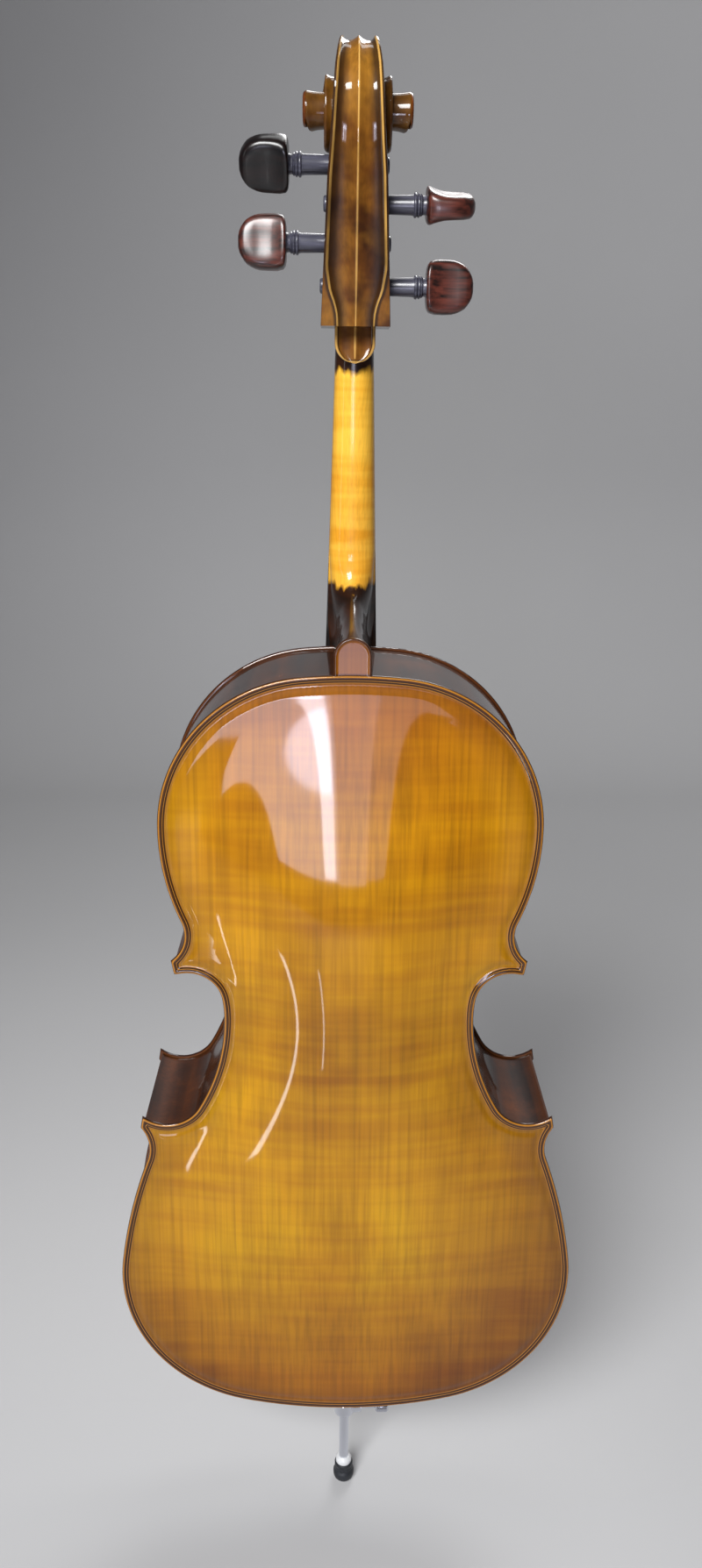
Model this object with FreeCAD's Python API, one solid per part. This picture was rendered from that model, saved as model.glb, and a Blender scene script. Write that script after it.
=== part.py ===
import FreeCAD, Part
import math
import os

# A full-size cello. Millimetres, +Z up, -Y is the string side, +Y the back, -X the bass side.
# The origin is the point of the endpin's rubber tip that stands on the floor. Heights in this
# file are measured from the bottom edge of the body, and at() lifts them onto the endpin.

V = FreeCAD.Vector

# --- driving dimensions -------------------------------------------------------------------------
BODY_BOTTOM = 154.0      # bottom edge of the body above the floor
BODY_LENGTH = 758.0
EDGE_Y = 62.5            # outer face of each plate's edge, from the middle of the ribs
PLATE_EDGE = 4.5         # thickness of a plate at its edge
PLATE = 4.15             # thickness of the arched part of a plate
BLANK = 50.0             # thickness of the wood that a plate is carved from
RIB_Y = EDGE_Y - PLATE_EDGE
OVERHANG = 3.0           # edge of a plate beyond the ribs
RIB = 1.6
LINING = 2.4
LINING_HEIGHT = 13.0
ARCH_BACK = 22.5         # rise of the back above its edge
ARCH_TOP = 21.0
JOINT_GAP = 0.3          # clearance between pieces that move past each other

# Outline of one half of the body, as tangent arcs: radius, then degrees of turn to the left.
UPPER_BOUT = [(460.0, -5.5), (136.5, -84.0), (216.0, -24.0), (31.3, 77.0)]
LOWER_BOUT = [(444.0, 13.0), (151.0, 84.7), (532.0, 12.4), (36.4, -56.8)]
WAIST_UP = [(104.0, -9.4), (31.5, -90.2)]
WAIST_DOWN = [(188.0, 30.1), (34.5, 100.5)]
WAIST = (113.2, 440.0)
BUTTON_RADIUS = 15.9
BUTTON_HEIGHT = 773.6

# Half widths and heights that the arching follows.
LOWER_ARCH = (205.0, 165.0)
WAIST_ARCH = (104.0, 440.0)
UPPER_ARCH = (157.0, 622.0)

NECK_TILT = 9.5
NECK_ROOT_Y = -83.5      # fingerboard's underside where the neck leaves the body
NUT_HEIGHT = 1036.0
NUT_LENGTH = 6.0
BOARD_LENGTH = 580.0
BOARD_THICKNESS = 13.0
BOARD_RADIUS = 64.0
BOARD_HALF_NUT = 16.0
BOARD_HALF_END = 32.0
NECK_DEPTH_NUT = 17.0
NECK_DEPTH_HEEL = 19.0
NECK_STRAIGHT = 200.0
HEEL_BOTTOM = 747.0

VOLUTE_Y = 20.0
VOLUTE_HEIGHT = 1192.0
VOLUTE_SQUASH = 0.9
SECOND_TURN_HALF = 25.7
EYE_HALF = 40.7
EYE_RADIUS = 14.0

BRIDGE_HEIGHT = 358.0    # height of the bridge on the body, the body stop
BRIDGE_TOP_Y = -173.0
BRIDGE_RADIUS = 62.0
STRING_SPREAD_BRIDGE = 47.0
STRING_SPREAD_NUT = 22.0
# name, place across the strings, radius, peg height, peg depth, side of the peg's head, head turn
STRINGS = [
    ("c", -1.5, 0.80, 1067.5, -8.0, -1, 0.0),
    ("g", -0.5, 0.60, 1126.5, 13.0, -1, 75.0),
    ("d", 0.5, 0.45, 1153.2, 21.0, 1, -35.0),
    ("a", 1.5, 0.35, 1098.7, 3.0, 1, 5.0),
]

PEG_FIT = 0.05           # radial clearance of a peg in its holes
PEG_RADIUS_HEAD = 7.2    # at the outer face of the cheek on the head's side
PEG_TAPER = 0.02         # loss of radius per millimetre
PEG_SHAFT = 23.0
PEG_END = 2.5
THUMB_AT = 26.0          # middle of the thumb piece beyond the shaft's end
THUMB_RADIUS = 19.0
THUMB_THICKNESS = 17.0

TAIL_TILT = 16.0
TAIL_TOP_HEIGHT = 246.0
TAIL_LENGTH = 228.0
TAIL_HALF_TOP = 31.0
TAIL_HALF_BOTTOM = 18.0
TAIL_THICKNESS = 8.0
TAIL_RADIUS = 70.0
TUNER_SPREAD = 14.5
TUNER_SCREW_AT = 38.0    # distance of the tuner screws from the tailpiece's top end
TUNER_PIVOT_AT = 11.0
TUNER_PIVOT_N = -11.5

ENDPIN_RADIUS = 5.0
ENDPIN_FIT = 0.08
ENDPIN_TOP = 340.0       # top of the rod inside the body
COLLAR_BOTTOM = -66.0
SCREW_HEIGHT = -58.0
GUT_RADIUS = 1.2


# --- helpers ------------------------------------------------------------------------------------
def at(x, y, h):
    """A point from its place across, its depth, and its height above the body's bottom edge."""
    return V(x, y, h + BODY_BOTTOM)


def box(x0, x1, y0, y1, h0, h1):
    return Part.makeBox(x1 - x0, y1 - y0, h1 - h0, at(x0, y0, h0))


def cylinder(radius, start, end):
    """A rod from one point to another."""
    return Part.makeCylinder(radius, (end - start).Length, start, end - start)


def cone(radius0, radius1, start, end):
    return Part.makeCone(radius0, radius1, (end - start).Length, start, end - start)


def polygon(points):
    return Part.makePolygon(points + [points[0]])


def spline(points):
    curve = Part.BSplineCurve()
    curve.interpolate(points)
    return curve.toShape()


def fuse(shapes):
    whole = shapes[0]
    for shape in shapes[1:]:
        whole = whole.fuse(shape)
    return whole.removeSplitter()


def crossed(side, front):
    """The solid whose side view and front view are two closed wires."""
    deep = Part.Face(side).extrude(V(200, 0, 0))
    deep.translate(V(-100, 0, 0))
    wide = Part.Face(front).extrude(V(0, 400, 0))
    wide.translate(V(0, -200, 0))
    return deep.common(wide)


def turned(profile, base, axis):
    """A solid of revolution from (distance along the axis, radius) points."""
    points = [V(0, 0, profile[0][0])]
    for along, radius in profile:
        points.append(V(radius, 0, along))
    points.append(V(0, 0, profile[-1][0]))
    solid = Part.Face(polygon(points)).revolve(V(0, 0, 0), V(0, 0, 1), 360)
    solid.Placement = FreeCAD.Placement(base, FreeCAD.Rotation(V(0, 0, 1), axis))
    return Part.makeSolid(solid) if solid.ShapeType != "Solid" else solid


# --- outline and arching ------------------------------------------------------------------------
def walk(start, heading, arcs):
    """Edges of tangent arcs walked from a point, with the last point and heading."""
    x, h = start
    angle = math.radians(heading)
    edges = []
    for radius, sweep in arcs:
        turn = math.radians(sweep)
        side = math.copysign(radius, sweep)
        cx = x - side * math.sin(angle)
        ch = h + side * math.cos(angle)
        spots = []
        for share in (0.0, 0.5, 1.0):
            now = angle + turn * share
            spots.append((cx + side * math.sin(now), ch - side * math.cos(now)))
        edges.append(Part.Arc(*[at(a, 0, b) for a, b in spots]).toShape())
        angle += turn
        x, h = spots[2]
    return edges, (x, h)


def outline():
    """The body's outline as one closed wire in the plane y = 0."""
    upper, upper_end = walk((0.0, BODY_LENGTH), 0.0, UPPER_BOUT)
    lower, lower_end = walk((0.0, 0.0), 0.0, LOWER_BOUT)
    waist_up, waist_top = walk(WAIST, 90.0, WAIST_UP)
    waist_down, waist_bottom = walk(WAIST, -90.0, WAIST_DOWN)
    corner = (waist_top[0] + 6.2, waist_top[1] - 1.05)
    half = upper + lower + waist_up + waist_down
    half.append(Part.makeLine(at(waist_top[0], 0, waist_top[1]), at(corner[0], 0, corner[1])))
    half.append(Part.makeLine(at(corner[0], 0, corner[1]), at(upper_end[0], 0, upper_end[1])))
    half.append(Part.makeLine(at(waist_bottom[0], 0, waist_bottom[1]),
                              at(lower_end[0], 0, lower_end[1])))
    other = [edge.mirror(V(0, 0, 0), V(1, 0, 0)) for edge in half]
    return Part.Wire(Part.__sortEdges__(half + other))


OUTLINE = Part.Face(outline())


def slab(inset, y0, y1):
    """The body's outline drawn in by an inset and extruded between two depths."""
    face = OUTLINE if inset == 0 else OUTLINE.makeOffset2D(-inset, 2)
    solid = face.extrude(V(0, y1 - y0, 0))
    solid.translate(V(0, y0, 0))
    return solid


def eased(a, b, share):
    return a + (b - a) * (1 - math.cos(math.pi * share)) / 2


def arch_half_width(h):
    """Half width of the arched field at a height, eased from bout to waist to bout."""
    if h <= LOWER_ARCH[1]:
        return LOWER_ARCH[0]
    if h <= WAIST_ARCH[1]:
        return eased(LOWER_ARCH[0], WAIST_ARCH[0],
                     (h - LOWER_ARCH[1]) / (WAIST_ARCH[1] - LOWER_ARCH[1]))
    if h <= UPPER_ARCH[1]:
        return eased(WAIST_ARCH[0], UPPER_ARCH[0],
                     (h - WAIST_ARCH[1]) / (UPPER_ARCH[1] - WAIST_ARCH[1]))
    return UPPER_ARCH[0]


def arching(x, h, rise):
    """Height of a plate above its edge."""
    across = abs(x) / arch_half_width(h)
    along = abs(h - BODY_LENGTH / 2) / (BODY_LENGTH / 2 - 8)
    reach = (across ** 2.5 + along ** 2.5) ** 0.4
    if reach >= 1:
        return 0.0
    return rise * (1 - reach ** 2.4) ** 1.7


def above_arch(rise, base_y, sign):
    """Everything outside an arched surface: sign is 1 for the back and -1 for the top."""
    rows = []
    for i in range(33):
        h = -14.0 + i * (BODY_LENGTH + 54.0) / 32
        row = []
        for j in range(25):
            x = -228.0 + j * 19.0
            row.append(at(x, base_y + sign * arching(x, h, rise), h))
        rows.append(row)
    surface = Part.BSplineSurface()
    surface.interpolate(rows)
    return surface.toShape().extrude(V(0, sign * 80, 0))


# --- plates -------------------------------------------------------------------------------------
def plate(sign, rise):
    """One whole carved plate, before it is parted at the centre joint."""
    base = RIB_Y if sign > 0 else -RIB_Y - BLANK
    blank = slab(0, 0, BLANK)
    if sign > 0:
        button = box(-BUTTON_RADIUS, BUTTON_RADIUS, 0, BLANK, BODY_LENGTH - 12, BUTTON_HEIGHT)
        knob = cylinder(BUTTON_RADIUS, at(0, 0, BUTTON_HEIGHT), at(0, BLANK, BUTTON_HEIGHT))
        blank = fuse([blank, button, knob])
    blank.translate(V(0, base, 0))
    blank = blank.cut(above_arch(rise, sign * EDGE_Y, sign))
    hollow = slab(12, 0, BLANK)
    hollow.translate(V(0, base, 0))
    hollow = hollow.cut(above_arch(rise, sign * (EDGE_Y - PLATE), sign))
    return blank.cut(hollow)


def sound_hole(side):
    """Cutter for one f-hole, upright on the top."""
    depth0, depth1 = -105.0, -40.0
    upper = cylinder(7.5, at(side * 50, depth0, 424), at(side * 50, depth1, 424))
    lower = cylinder(10.0, at(side * 88, depth0, 304), at(side * 88, depth1, 304))
    inner = [(46, 431), (66, 420), (66, 390), (69, 358), (78, 326), (95, 310), (96, 299)]
    outer = [(96, 299), (106, 312), (97, 322), (81, 345), (75, 372), (74, 400), (64, 432), (46, 431)]
    edges = [spline([at(side * x, depth0, h) for x, h in inner]),
             spline([at(side * x, depth0, h) for x, h in outer])]
    stem = Part.Face(Part.Wire(edges)).extrude(V(0, depth1 - depth0, 0))
    return [upper, lower, stem]


def purfling(sign, whole):
    """The inlaid line that follows the outline inside a plate's edge, 1 mm deep."""
    band = slab(4.0, 0, BLANK).cut(slab(5.3, -1, BLANK + 1))
    band.translate(V(0, RIB_Y if sign > 0 else -RIB_Y - BLANK, 0))
    deep = whole.copy()
    deep.translate(V(0, -sign * 1.0, 0))
    return band.common(whole).cut(deep)


# --- ribs and the inside ------------------------------------------------------------------------
def rib_ring():
    return slab(OVERHANG, -RIB_Y, RIB_Y).cut(slab(OVERHANG + RIB, -RIB_Y - 1, RIB_Y + 1))


def mitre(side, corner, slope):
    """Everything above a slanting line through the middle of a corner, for parting the ribs."""
    x, h = corner
    start = at(0, -80, h - slope * x)
    far = at(side * 300, -80, h + slope * (300 - x))
    points = [start, far, far + V(0, 0, 900), start + V(0, 0, 900)]
    return Part.Face(polygon(points)).extrude(V(0, 160, 0))


def ribs():
    """Six ribs, parted at the corners and at the centre of each end."""
    ring = rib_ring()
    made = {}
    for name, side in (("bass", -1), ("treble", 1)):
        half = ring.common(box(min(0, side * 250), max(0, side * 250), -80, 80, -20, 800))
        above_upper = mitre(side, (158.5, 489.2), -0.4)
        above_lower = mitre(side, (192.0, 330.5), 1.07)
        made["rib_upper_" + name] = half.common(above_upper)
        made["rib_lower_" + name] = half.cut(above_lower)
        made["rib_waist_" + name] = half.cut(above_upper).common(above_lower)
    return made


def inside(inset=OVERHANG + RIB):
    return slab(inset, -RIB_Y, RIB_Y)


def blocks():
    """Top block, bottom block and the four corner blocks."""
    room = inside()
    top = room.common(box(-45, 45, -RIB_Y, RIB_Y, 726, 760))
    bottom = room.common(box(-38, 38, -RIB_Y, RIB_Y, 0, 28))
    corners = []
    for side in (-1, 1):
        for points in ([(126, 478), (170, 470), (170, 510), (137, 513)],
                       [(150, 342), (200, 350), (202, 310), (171, 300)]):
            wedge = Part.Face(polygon([at(side * x, -RIB_Y, h) for x, h in points]))
            corners.append(room.common(wedge.extrude(V(0, 2 * RIB_Y, 0))))
    return top, bottom, corners


def lining_ring(sign, filled):
    """The strips that widen the ribs' edge, between the blocks."""
    ring = inside().cut(slab(OVERHANG + RIB + LINING, -80, 80))
    y0, y1 = (RIB_Y - LINING_HEIGHT, RIB_Y) if sign > 0 else (-RIB_Y, -RIB_Y + LINING_HEIGHT)
    return ring.common(box(-250, 250, y0, y1, -10, 780)).cut(filled)


def bass_bar(below_top):
    """The long bar glued under the top, along the bass side."""
    points = [at(-38, -70, 70), at(-27, -70, 690), at(-16, -70, 690), at(-27, -70, 70)]
    bar = Part.Face(polygon(points)).extrude(V(0, 50, 0))
    arch = Part.Arc(at(0, -60.5, 70), at(0, -39, 380), at(0, -60.5, 690)).toShape()
    chord = Part.makeLine(at(0, -60.5, 690), at(0, -60.5, 70))
    side_view = Part.Face(Part.Wire([arch, chord])).extrude(V(80, 0, 0))
    side_view.translate(V(-60, 0, 0))
    deep = box(-60, 20, -110, -60.5, 70, 690)
    bar.translate(V(0, -40, 0))
    return bar.common(fuse([side_view, deep])).common(below_top)


# --- neck frame ---------------------------------------------------------------------------------
SIN_NECK = math.sin(math.radians(NECK_TILT))
COS_NECK = math.cos(math.radians(NECK_TILT))
NUT_Y = NECK_ROOT_Y + (NUT_HEIGHT - BODY_LENGTH) * SIN_NECK / COS_NECK


def on_neck(x, down, out):
    """A point on the neck: distance down from the nut, and outward from the fingerboard's glue."""
    return at(x, NUT_Y - down * SIN_NECK - out * COS_NECK, NUT_HEIGHT - down * COS_NECK + out * SIN_NECK)


def board_half(down):
    return BOARD_HALF_NUT + (BOARD_HALF_END - BOARD_HALF_NUT) * down / BOARD_LENGTH


def crown(x, thickness, radius):
    """Height of a rounded top over its flat underside."""
    return thickness - radius + math.sqrt(radius * radius - x * x)


def crowned_section(place, half, thickness, radius, down):
    side = crown(half, thickness, radius)
    arc = Part.Arc(place(-half, down, side), place(0, down, thickness), place(half, down, side))
    return Part.Wire([Part.makeLine(place(-half, down, 0), place(-half, down, side)), arc.toShape(),
                      Part.makeLine(place(half, down, side), place(half, down, 0)),
                      Part.makeLine(place(half, down, 0), place(-half, down, 0))])


def fingerboard():
    ends = [crowned_section(on_neck, board_half(d), BOARD_THICKNESS, BOARD_RADIUS, d)
            for d in (0.0, BOARD_LENGTH)]
    board = Part.makeLoft(ends, True, True)
    hollow = [polygon([on_neck(-board_half(d) + 8, d, -1), on_neck(-board_half(d) + 12, d, 6),
                       on_neck(board_half(d) - 12, d, 6), on_neck(board_half(d) - 8, d, -1)])
              for d in (300.0, BOARD_LENGTH + 1)]
    return board.cut(Part.makeLoft(hollow, True, True))


def nut():
    ends = [crowned_section(on_neck, BOARD_HALF_NUT, BOARD_THICKNESS + 1.7, BOARD_RADIUS, d)
            for d in (-NUT_LENGTH, 0.0)]
    return Part.makeLoft(ends, True, True)


def neck_section(down, half, depth):
    """A rounded neck section, flat towards the fingerboard."""
    points = []
    for i in range(13):
        turn = math.pi * i / 12
        points.append(on_neck(half * math.cos(turn), down, -depth * math.sin(turn) ** 0.9))
    return Part.Wire([spline(points), Part.makeLine(points[-1], points[0])])


def volute_radius(turn):
    """Radius of the scroll's spiral after a turn in degrees, counted from its top."""
    turn = max(turn, 0.0)
    return 6.0 + 22.0 * math.exp(-turn / 120.0) + 22.0 * math.exp(-turn / 800.0)


def volute(turn, x=0.0):
    radius = volute_radius(turn)
    angle = math.radians(turn)
    return at(x, VOLUTE_Y - VOLUTE_SQUASH * radius * math.sin(angle),
              VOLUTE_HEIGHT + radius * math.cos(angle))


PEGBOX_FRONT = ((-36.0, 1040.0), (9.0, 1164.0))
HEAD_BACK = [(8.0, 1036.0), (18.0, 1062.0), (32.0, 1098.0), (44.0, 1131.0), (55.0, 1162.0)]
HEAD_HALF = [(28.4, 1036.0), (23.1, 1143.0), (21.0, 1173.0), (18.4, 1199.0), (16.5, 1223.0),
             (13.0, 1246.0)]


def head():
    """Pegbox and scroll, before the trench is cut."""
    back = [at(0, y, h) for y, h in HEAD_BACK] + [volute(turn) for turn in range(-90, 151, 20)]
    front = [at(0, y, h) for y, h in PEGBOX_FRONT]
    foot = at(0, NUT_Y, NUT_HEIGHT)
    side = Part.Wire([spline(back), Part.makeLine(back[-1], front[1]),
                      Part.makeLine(front[1], front[0]), Part.makeLine(front[0], foot),
                      Part.makeLine(foot, back[0])])
    half = [at(x, 0, h) for x, h in HEAD_HALF]
    other = [at(-x, 0, h) for x, h in reversed(HEAD_HALF)]
    cheeks = crossed(side, polygon(half + other))
    inner = [volute(turn, -SECOND_TURN_HALF) for turn in range(180, 541, 20)]
    disc = Part.Face(Part.Wire([spline(inner), Part.makeLine(inner[-1], inner[0])]))
    second = disc.extrude(V(2 * SECOND_TURN_HALF, 0, 0))
    eye = cylinder(EYE_RADIUS, at(-EYE_HALF, VOLUTE_Y, VOLUTE_HEIGHT),
                   at(EYE_HALF, VOLUTE_Y, VOLUTE_HEIGHT))
    return fuse([cheeks, second, eye])


def trench():
    """The pegbox's open hollow."""
    side = polygon([at(0, -80, 1047), at(0, -4, 1047), at(0, 8, 1075), at(0, 32, 1132),
                    at(0, 38, 1162.5), at(0, -20, 1162.5)])
    front = polygon([at(-18.6, 0, 1047), at(18.6, 0, 1047), at(12.6, 0, 1163), at(-12.6, 0, 1163)])
    return crossed(side, front)


def neck():
    """Neck, heel, pegbox and scroll, carved from one billet."""
    shaft = Part.makeLoft([neck_section(-8.0, 16.4, 18.0), neck_section(0.0, 16.0, NECK_DEPTH_NUT),
                           neck_section(NECK_STRAIGHT, board_half(NECK_STRAIGHT), NECK_DEPTH_HEEL)],
                          True, True)
    tongue = Part.Face(Part.Wire([
        Part.Arc(at(-17, 0, 1024), at(0, 0, 1007.5), at(17, 0, 1024)).toShape(),
        Part.makeLine(at(17, 0, 1024), at(17, 0, 1037)), Part.makeLine(at(17, 0, 1037), at(-17, 0, 1037)),
        Part.makeLine(at(-17, 0, 1037), at(-17, 0, 1024))])).extrude(V(0, 60, 0))
    tongue.translate(V(0, -32, 0))
    chin = polygon([at(0, -32, 1007), at(0, -18, 1007), at(0, 0, 1020), at(0, 8, 1037), at(0, -32, 1037)])
    chin = Part.Face(chin).extrude(V(60, 0, 0))
    chin.translate(V(-30, 0, 0))
    start = on_neck(0, NECK_STRAIGHT - 8, -NECK_DEPTH_HEEL + 0.4)
    bottom = HEEL_BOTTOM
    root = on_neck(0, NECK_STRAIGHT - 8, 0)
    foot_y = NECK_ROOT_Y - (BODY_LENGTH - bottom) * SIN_NECK / COS_NECK
    curve = spline([start, at(0, -38, 815), at(0, -8, 795), at(0, 30, 789.5), at(0, RIB_Y, 788.5)])
    side = Part.Wire([curve, Part.makeLine(at(0, RIB_Y, 788.5), at(0, RIB_Y, bottom)),
                      Part.makeLine(at(0, RIB_Y, bottom), at(0, foot_y, bottom)),
                      Part.makeLine(at(0, foot_y, bottom), root), Part.makeLine(root, start)])
    deep = Part.Face(side).extrude(V(60, 0, 0))
    deep.translate(V(-30, 0, 0))
    half = [(23.4, -102.0), (23.4, -78.0), (20.0, -50.0), (13.0, -15.0), (11.5, 20.0), (14.5, RIB_Y)]
    plan = [at(x, y, 700) for x, y in half] + [at(-x, y, 700) for x, y in reversed(half)]
    heel = deep.common(Part.Face(polygon(plan)).extrude(V(0, 0, 200)))
    return fuse([shaft, tongue.common(chin), heel, head()]).cut(trench())


# --- bridge, saddle, strings --------------------------------------------------------------------
def bridge_crest(x):
    """Depth of the bridge's top edge; the bass side stands a little higher."""
    return BRIDGE_TOP_Y + BRIDGE_RADIUS - math.sqrt(BRIDGE_RADIUS ** 2 - x * x) + 0.03 * x


def bridge(belly):
    """The bridge: two legs, a waist, a heart and two kidney cut-outs, thinned towards the top."""
    half = [(0.0, bridge_crest(0)), (14.0, bridge_crest(14)), (27.0, bridge_crest(27)),
            (29.5, -158.0), (24.0, -146.0), (32.0, -133.0), (27.0, -121.0), (30.0, -108.0),
            (45.0, -95.0), (47.0, -78.0), (23.0, -78.0), (22.0, -92.0), (12.0, -101.0), (0.0, -104.0)]
    points = [at(x, y, 340) for x, y in half] + [at(-x, y, 340) for x, y in reversed(half[1:-1])]
    blank = Part.Face(polygon(points)).extrude(V(0, 0, 40))
    taper = polygon([at(0, -178, 356.5), at(0, -178, 359.5), at(0, -76, 363), at(0, -76, 352)])
    wedge = Part.Face(taper).extrude(V(120, 0, 0))
    wedge.translate(V(-60, 0, 0))
    body = blank.common(wedge)
    heart = fuse([cylinder(4.6, at(-4, -139, 340), at(-4, -139, 380)),
                  cylinder(4.6, at(4, -139, 340), at(4, -139, 380)),
                  Part.Face(polygon([at(-8.3, -137, 340), at(8.3, -137, 340), at(0, -123, 340)])
                            ).extrude(V(0, 0, 40))])
    return body.cut(heart).cut(belly)


SIN_TAIL = math.sin(math.radians(TAIL_TILT))
COS_TAIL = math.cos(math.radians(TAIL_TILT))
TAIL_TOP_Y = BRIDGE_TOP_Y + (BRIDGE_HEIGHT - TAIL_TOP_HEIGHT) * SIN_TAIL / COS_TAIL + TAIL_THICKNESS


def on_tail(x, down, out):
    """A point on the tailpiece: down from its top end, and outward from its flat underside."""
    return at(x, TAIL_TOP_Y + down * SIN_TAIL - out * COS_TAIL,
              TAIL_TOP_HEIGHT - down * COS_TAIL - out * SIN_TAIL)


def string_route(place, peg_height, peg_depth):
    """Corner points of one string, from its winding over nut and bridge to its tuner."""
    nut_x = place * STRING_SPREAD_NUT / 3
    bridge_x = place * STRING_SPREAD_BRIDGE / 3
    nut_point = on_neck(nut_x, -NUT_LENGTH / 2, crown(nut_x, BOARD_THICKNESS + 1.7, BOARD_RADIUS) + 0.1)
    over = at(bridge_x, bridge_crest(bridge_x) - 0.2, BRIDGE_HEIGHT)
    end = on_tail(place * TUNER_SPREAD, TUNER_PIVOT_AT + 1.9, TAIL_THICKNESS + 3.2)
    peg = at(place * 5.2, peg_depth, peg_height)
    return peg, nut_point, over, end


def tangent_start(peg, toward, radius):
    """Where a straight line from a point touches the string side of a winding."""
    dy = toward.y - peg.y
    dz = toward.z - peg.z
    reach = math.hypot(dy, dz)
    angle = math.atan2(dz, dy) - math.acos(radius / reach)
    return V(peg.x, peg.y + radius * math.cos(angle), peg.z + radius * math.sin(angle))


def rounded_path(points, radii):
    """Straight runs joined by tangent arcs."""
    edges = []
    here = points[0]
    for before, corner, after, radius in zip(points, points[1:], points[2:], radii):
        back = (before - corner).normalize()
        ahead = (after - corner).normalize()
        half = math.acos(max(-1.0, min(1.0, back.dot(ahead)))) / 2
        cut = radius / math.tan(half)
        first = corner + back * cut
        last = corner + ahead * cut
        middle_way = (back + ahead).normalize()
        centre = corner + middle_way * (radius / math.sin(half))
        middle = centre - middle_way * radius
        edges.append(Part.makeLine(here, first))
        edges.append(Part.Arc(first, middle, last).toShape())
        here = last
    edges.append(Part.makeLine(here, points[-1]))
    return Part.Wire(edges)


def tube(path, start, direction, radius):
    ring = Part.Wire(Part.Circle(start, direction, radius).toShape())
    return path.makePipeShell([ring], True, False)


def winding_radius(height, depth):
    return PEG_RADIUS_HEAD - PEG_TAPER * 26 + 0.1


def strings():
    """Four strings, each with the ball that its tuner holds."""
    made = {}
    for name, place, radius, height, depth, side, turn in STRINGS:
        peg, nut_point, over, end = string_route(place, height, depth)
        reach = winding_radius(height, depth) + 2 * radius + JOINT_GAP + radius
        start = tangent_start(peg, nut_point, reach)
        points = [start, nut_point, over, end]
        path = rounded_path(points, [14.0, 16.0])
        made[name] = tube(path, start, nut_point - start, radius)
        ball = cylinder(1.9, end + V(-2.2, 0, 0), end + V(2.2, 0, 0))
        made[name] = made[name].fuse(ball)
        length = path.Length
        print("string", name, "length", round(length, 1), "volume ratio",
              round(tube(path, start, nut_point - start, radius).Volume / (math.pi * radius ** 2 * length), 4))
    return made


def saddle():
    block = box(-19, 19, -75, -RIB_Y, -0.5, 13)
    centre = (-66.6, 6.25)
    square = box(-20, 20, -76, centre[0], -1, centre[1])
    round_edge = cylinder(9.7, at(-20, *centre), at(20, *centre))
    return block.cut(square.cut(round_edge))


def gut_points():
    """Where the right-hand strand starts, turns over the saddle and meets its loop."""
    return on_tail(9.0, TAIL_LENGTH - 6, 2.6), at(9.6, -77.6, -4.75), at(11.9, 0, -4.75)


def tailgut():
    """The loop that ties the tailpiece to the endpin: over the saddle and round the plug."""
    start, corner, landing = gut_points()
    loop = landing.x
    right = rounded_path([start, corner, landing], [11.0])
    left = [edge.mirror(V(0, 0, 0), V(1, 0, 0)) for edge in right.Edges]
    bend = Part.Arc(landing, V(0, loop, landing.z), V(-loop, 0, landing.z)).toShape()
    path = Part.Wire(Part.__sortEdges__(right.Edges + [bend] + left))
    gut = tube(path, start, corner - start, GUT_RADIUS)
    print("tailgut length", round(path.Length, 1), "volume ratio",
          round(gut.Volume / (math.pi * GUT_RADIUS ** 2 * path.Length), 4))
    return gut


# --- tailpiece and tuners -----------------------------------------------------------------------
def tailpiece():
    ends = [crowned_section(on_tail, half, TAIL_THICKNESS, TAIL_RADIUS, down)
            for half, down in ((TAIL_HALF_TOP, 0.0), (TAIL_HALF_BOTTOM, TAIL_LENGTH))]
    plate_blank = Part.makeLoft(ends, True, True)
    cuts = []
    for name, place, radius, height, depth, side, turn in STRINGS:
        x = place * TUNER_SPREAD
        cuts.append(tail_block(x - 2.6, x + 2.6, -1, 32, -2, 14))
        cuts.append(cylinder(1.55, on_tail(x, TUNER_SCREW_AT, -2), on_tail(x, TUNER_SCREW_AT, 14)))
    start, corner, landing = gut_points()
    hole = cylinder(GUT_RADIUS + 0.4, start + (start - corner) * 0.1, corner)
    cuts += [hole, hole.mirror(V(0, 0, 0), V(1, 0, 0))]
    solid = plate_blank
    for cutter in cuts:
        solid = solid.cut(cutter)
    lugs = []
    for name, place, radius, height, depth, side, turn in STRINGS:
        for edge in (-1, 1):
            x = place * TUNER_SPREAD + edge * 3.7
            lugs.append(tail_block(x - 1.0, x + 1.0, 6, 16, TUNER_PIVOT_N - 2.5, 1.0))
    for lug in lugs:
        solid = solid.fuse(lug)
    for name, place, radius, height, depth, side, turn in STRINGS:
        solid = solid.cut(tuner_pin(place, 1.0))
    return solid


def tail_block(x0, x1, down0, down1, out0, out1):
    corners = [on_tail(x0, down0, out0), on_tail(x0, down1, out0),
               on_tail(x0, down1, out1), on_tail(x0, down0, out1)]
    return Part.Face(polygon(corners)).extrude(V(x1 - x0, 0, 0))


def tuner_pin(place, radius):
    x = place * TUNER_SPREAD
    return cylinder(radius, on_tail(x - 4.7, TUNER_PIVOT_AT, TUNER_PIVOT_N),
                    on_tail(x + 4.7, TUNER_PIVOT_AT, TUNER_PIVOT_N))


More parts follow.
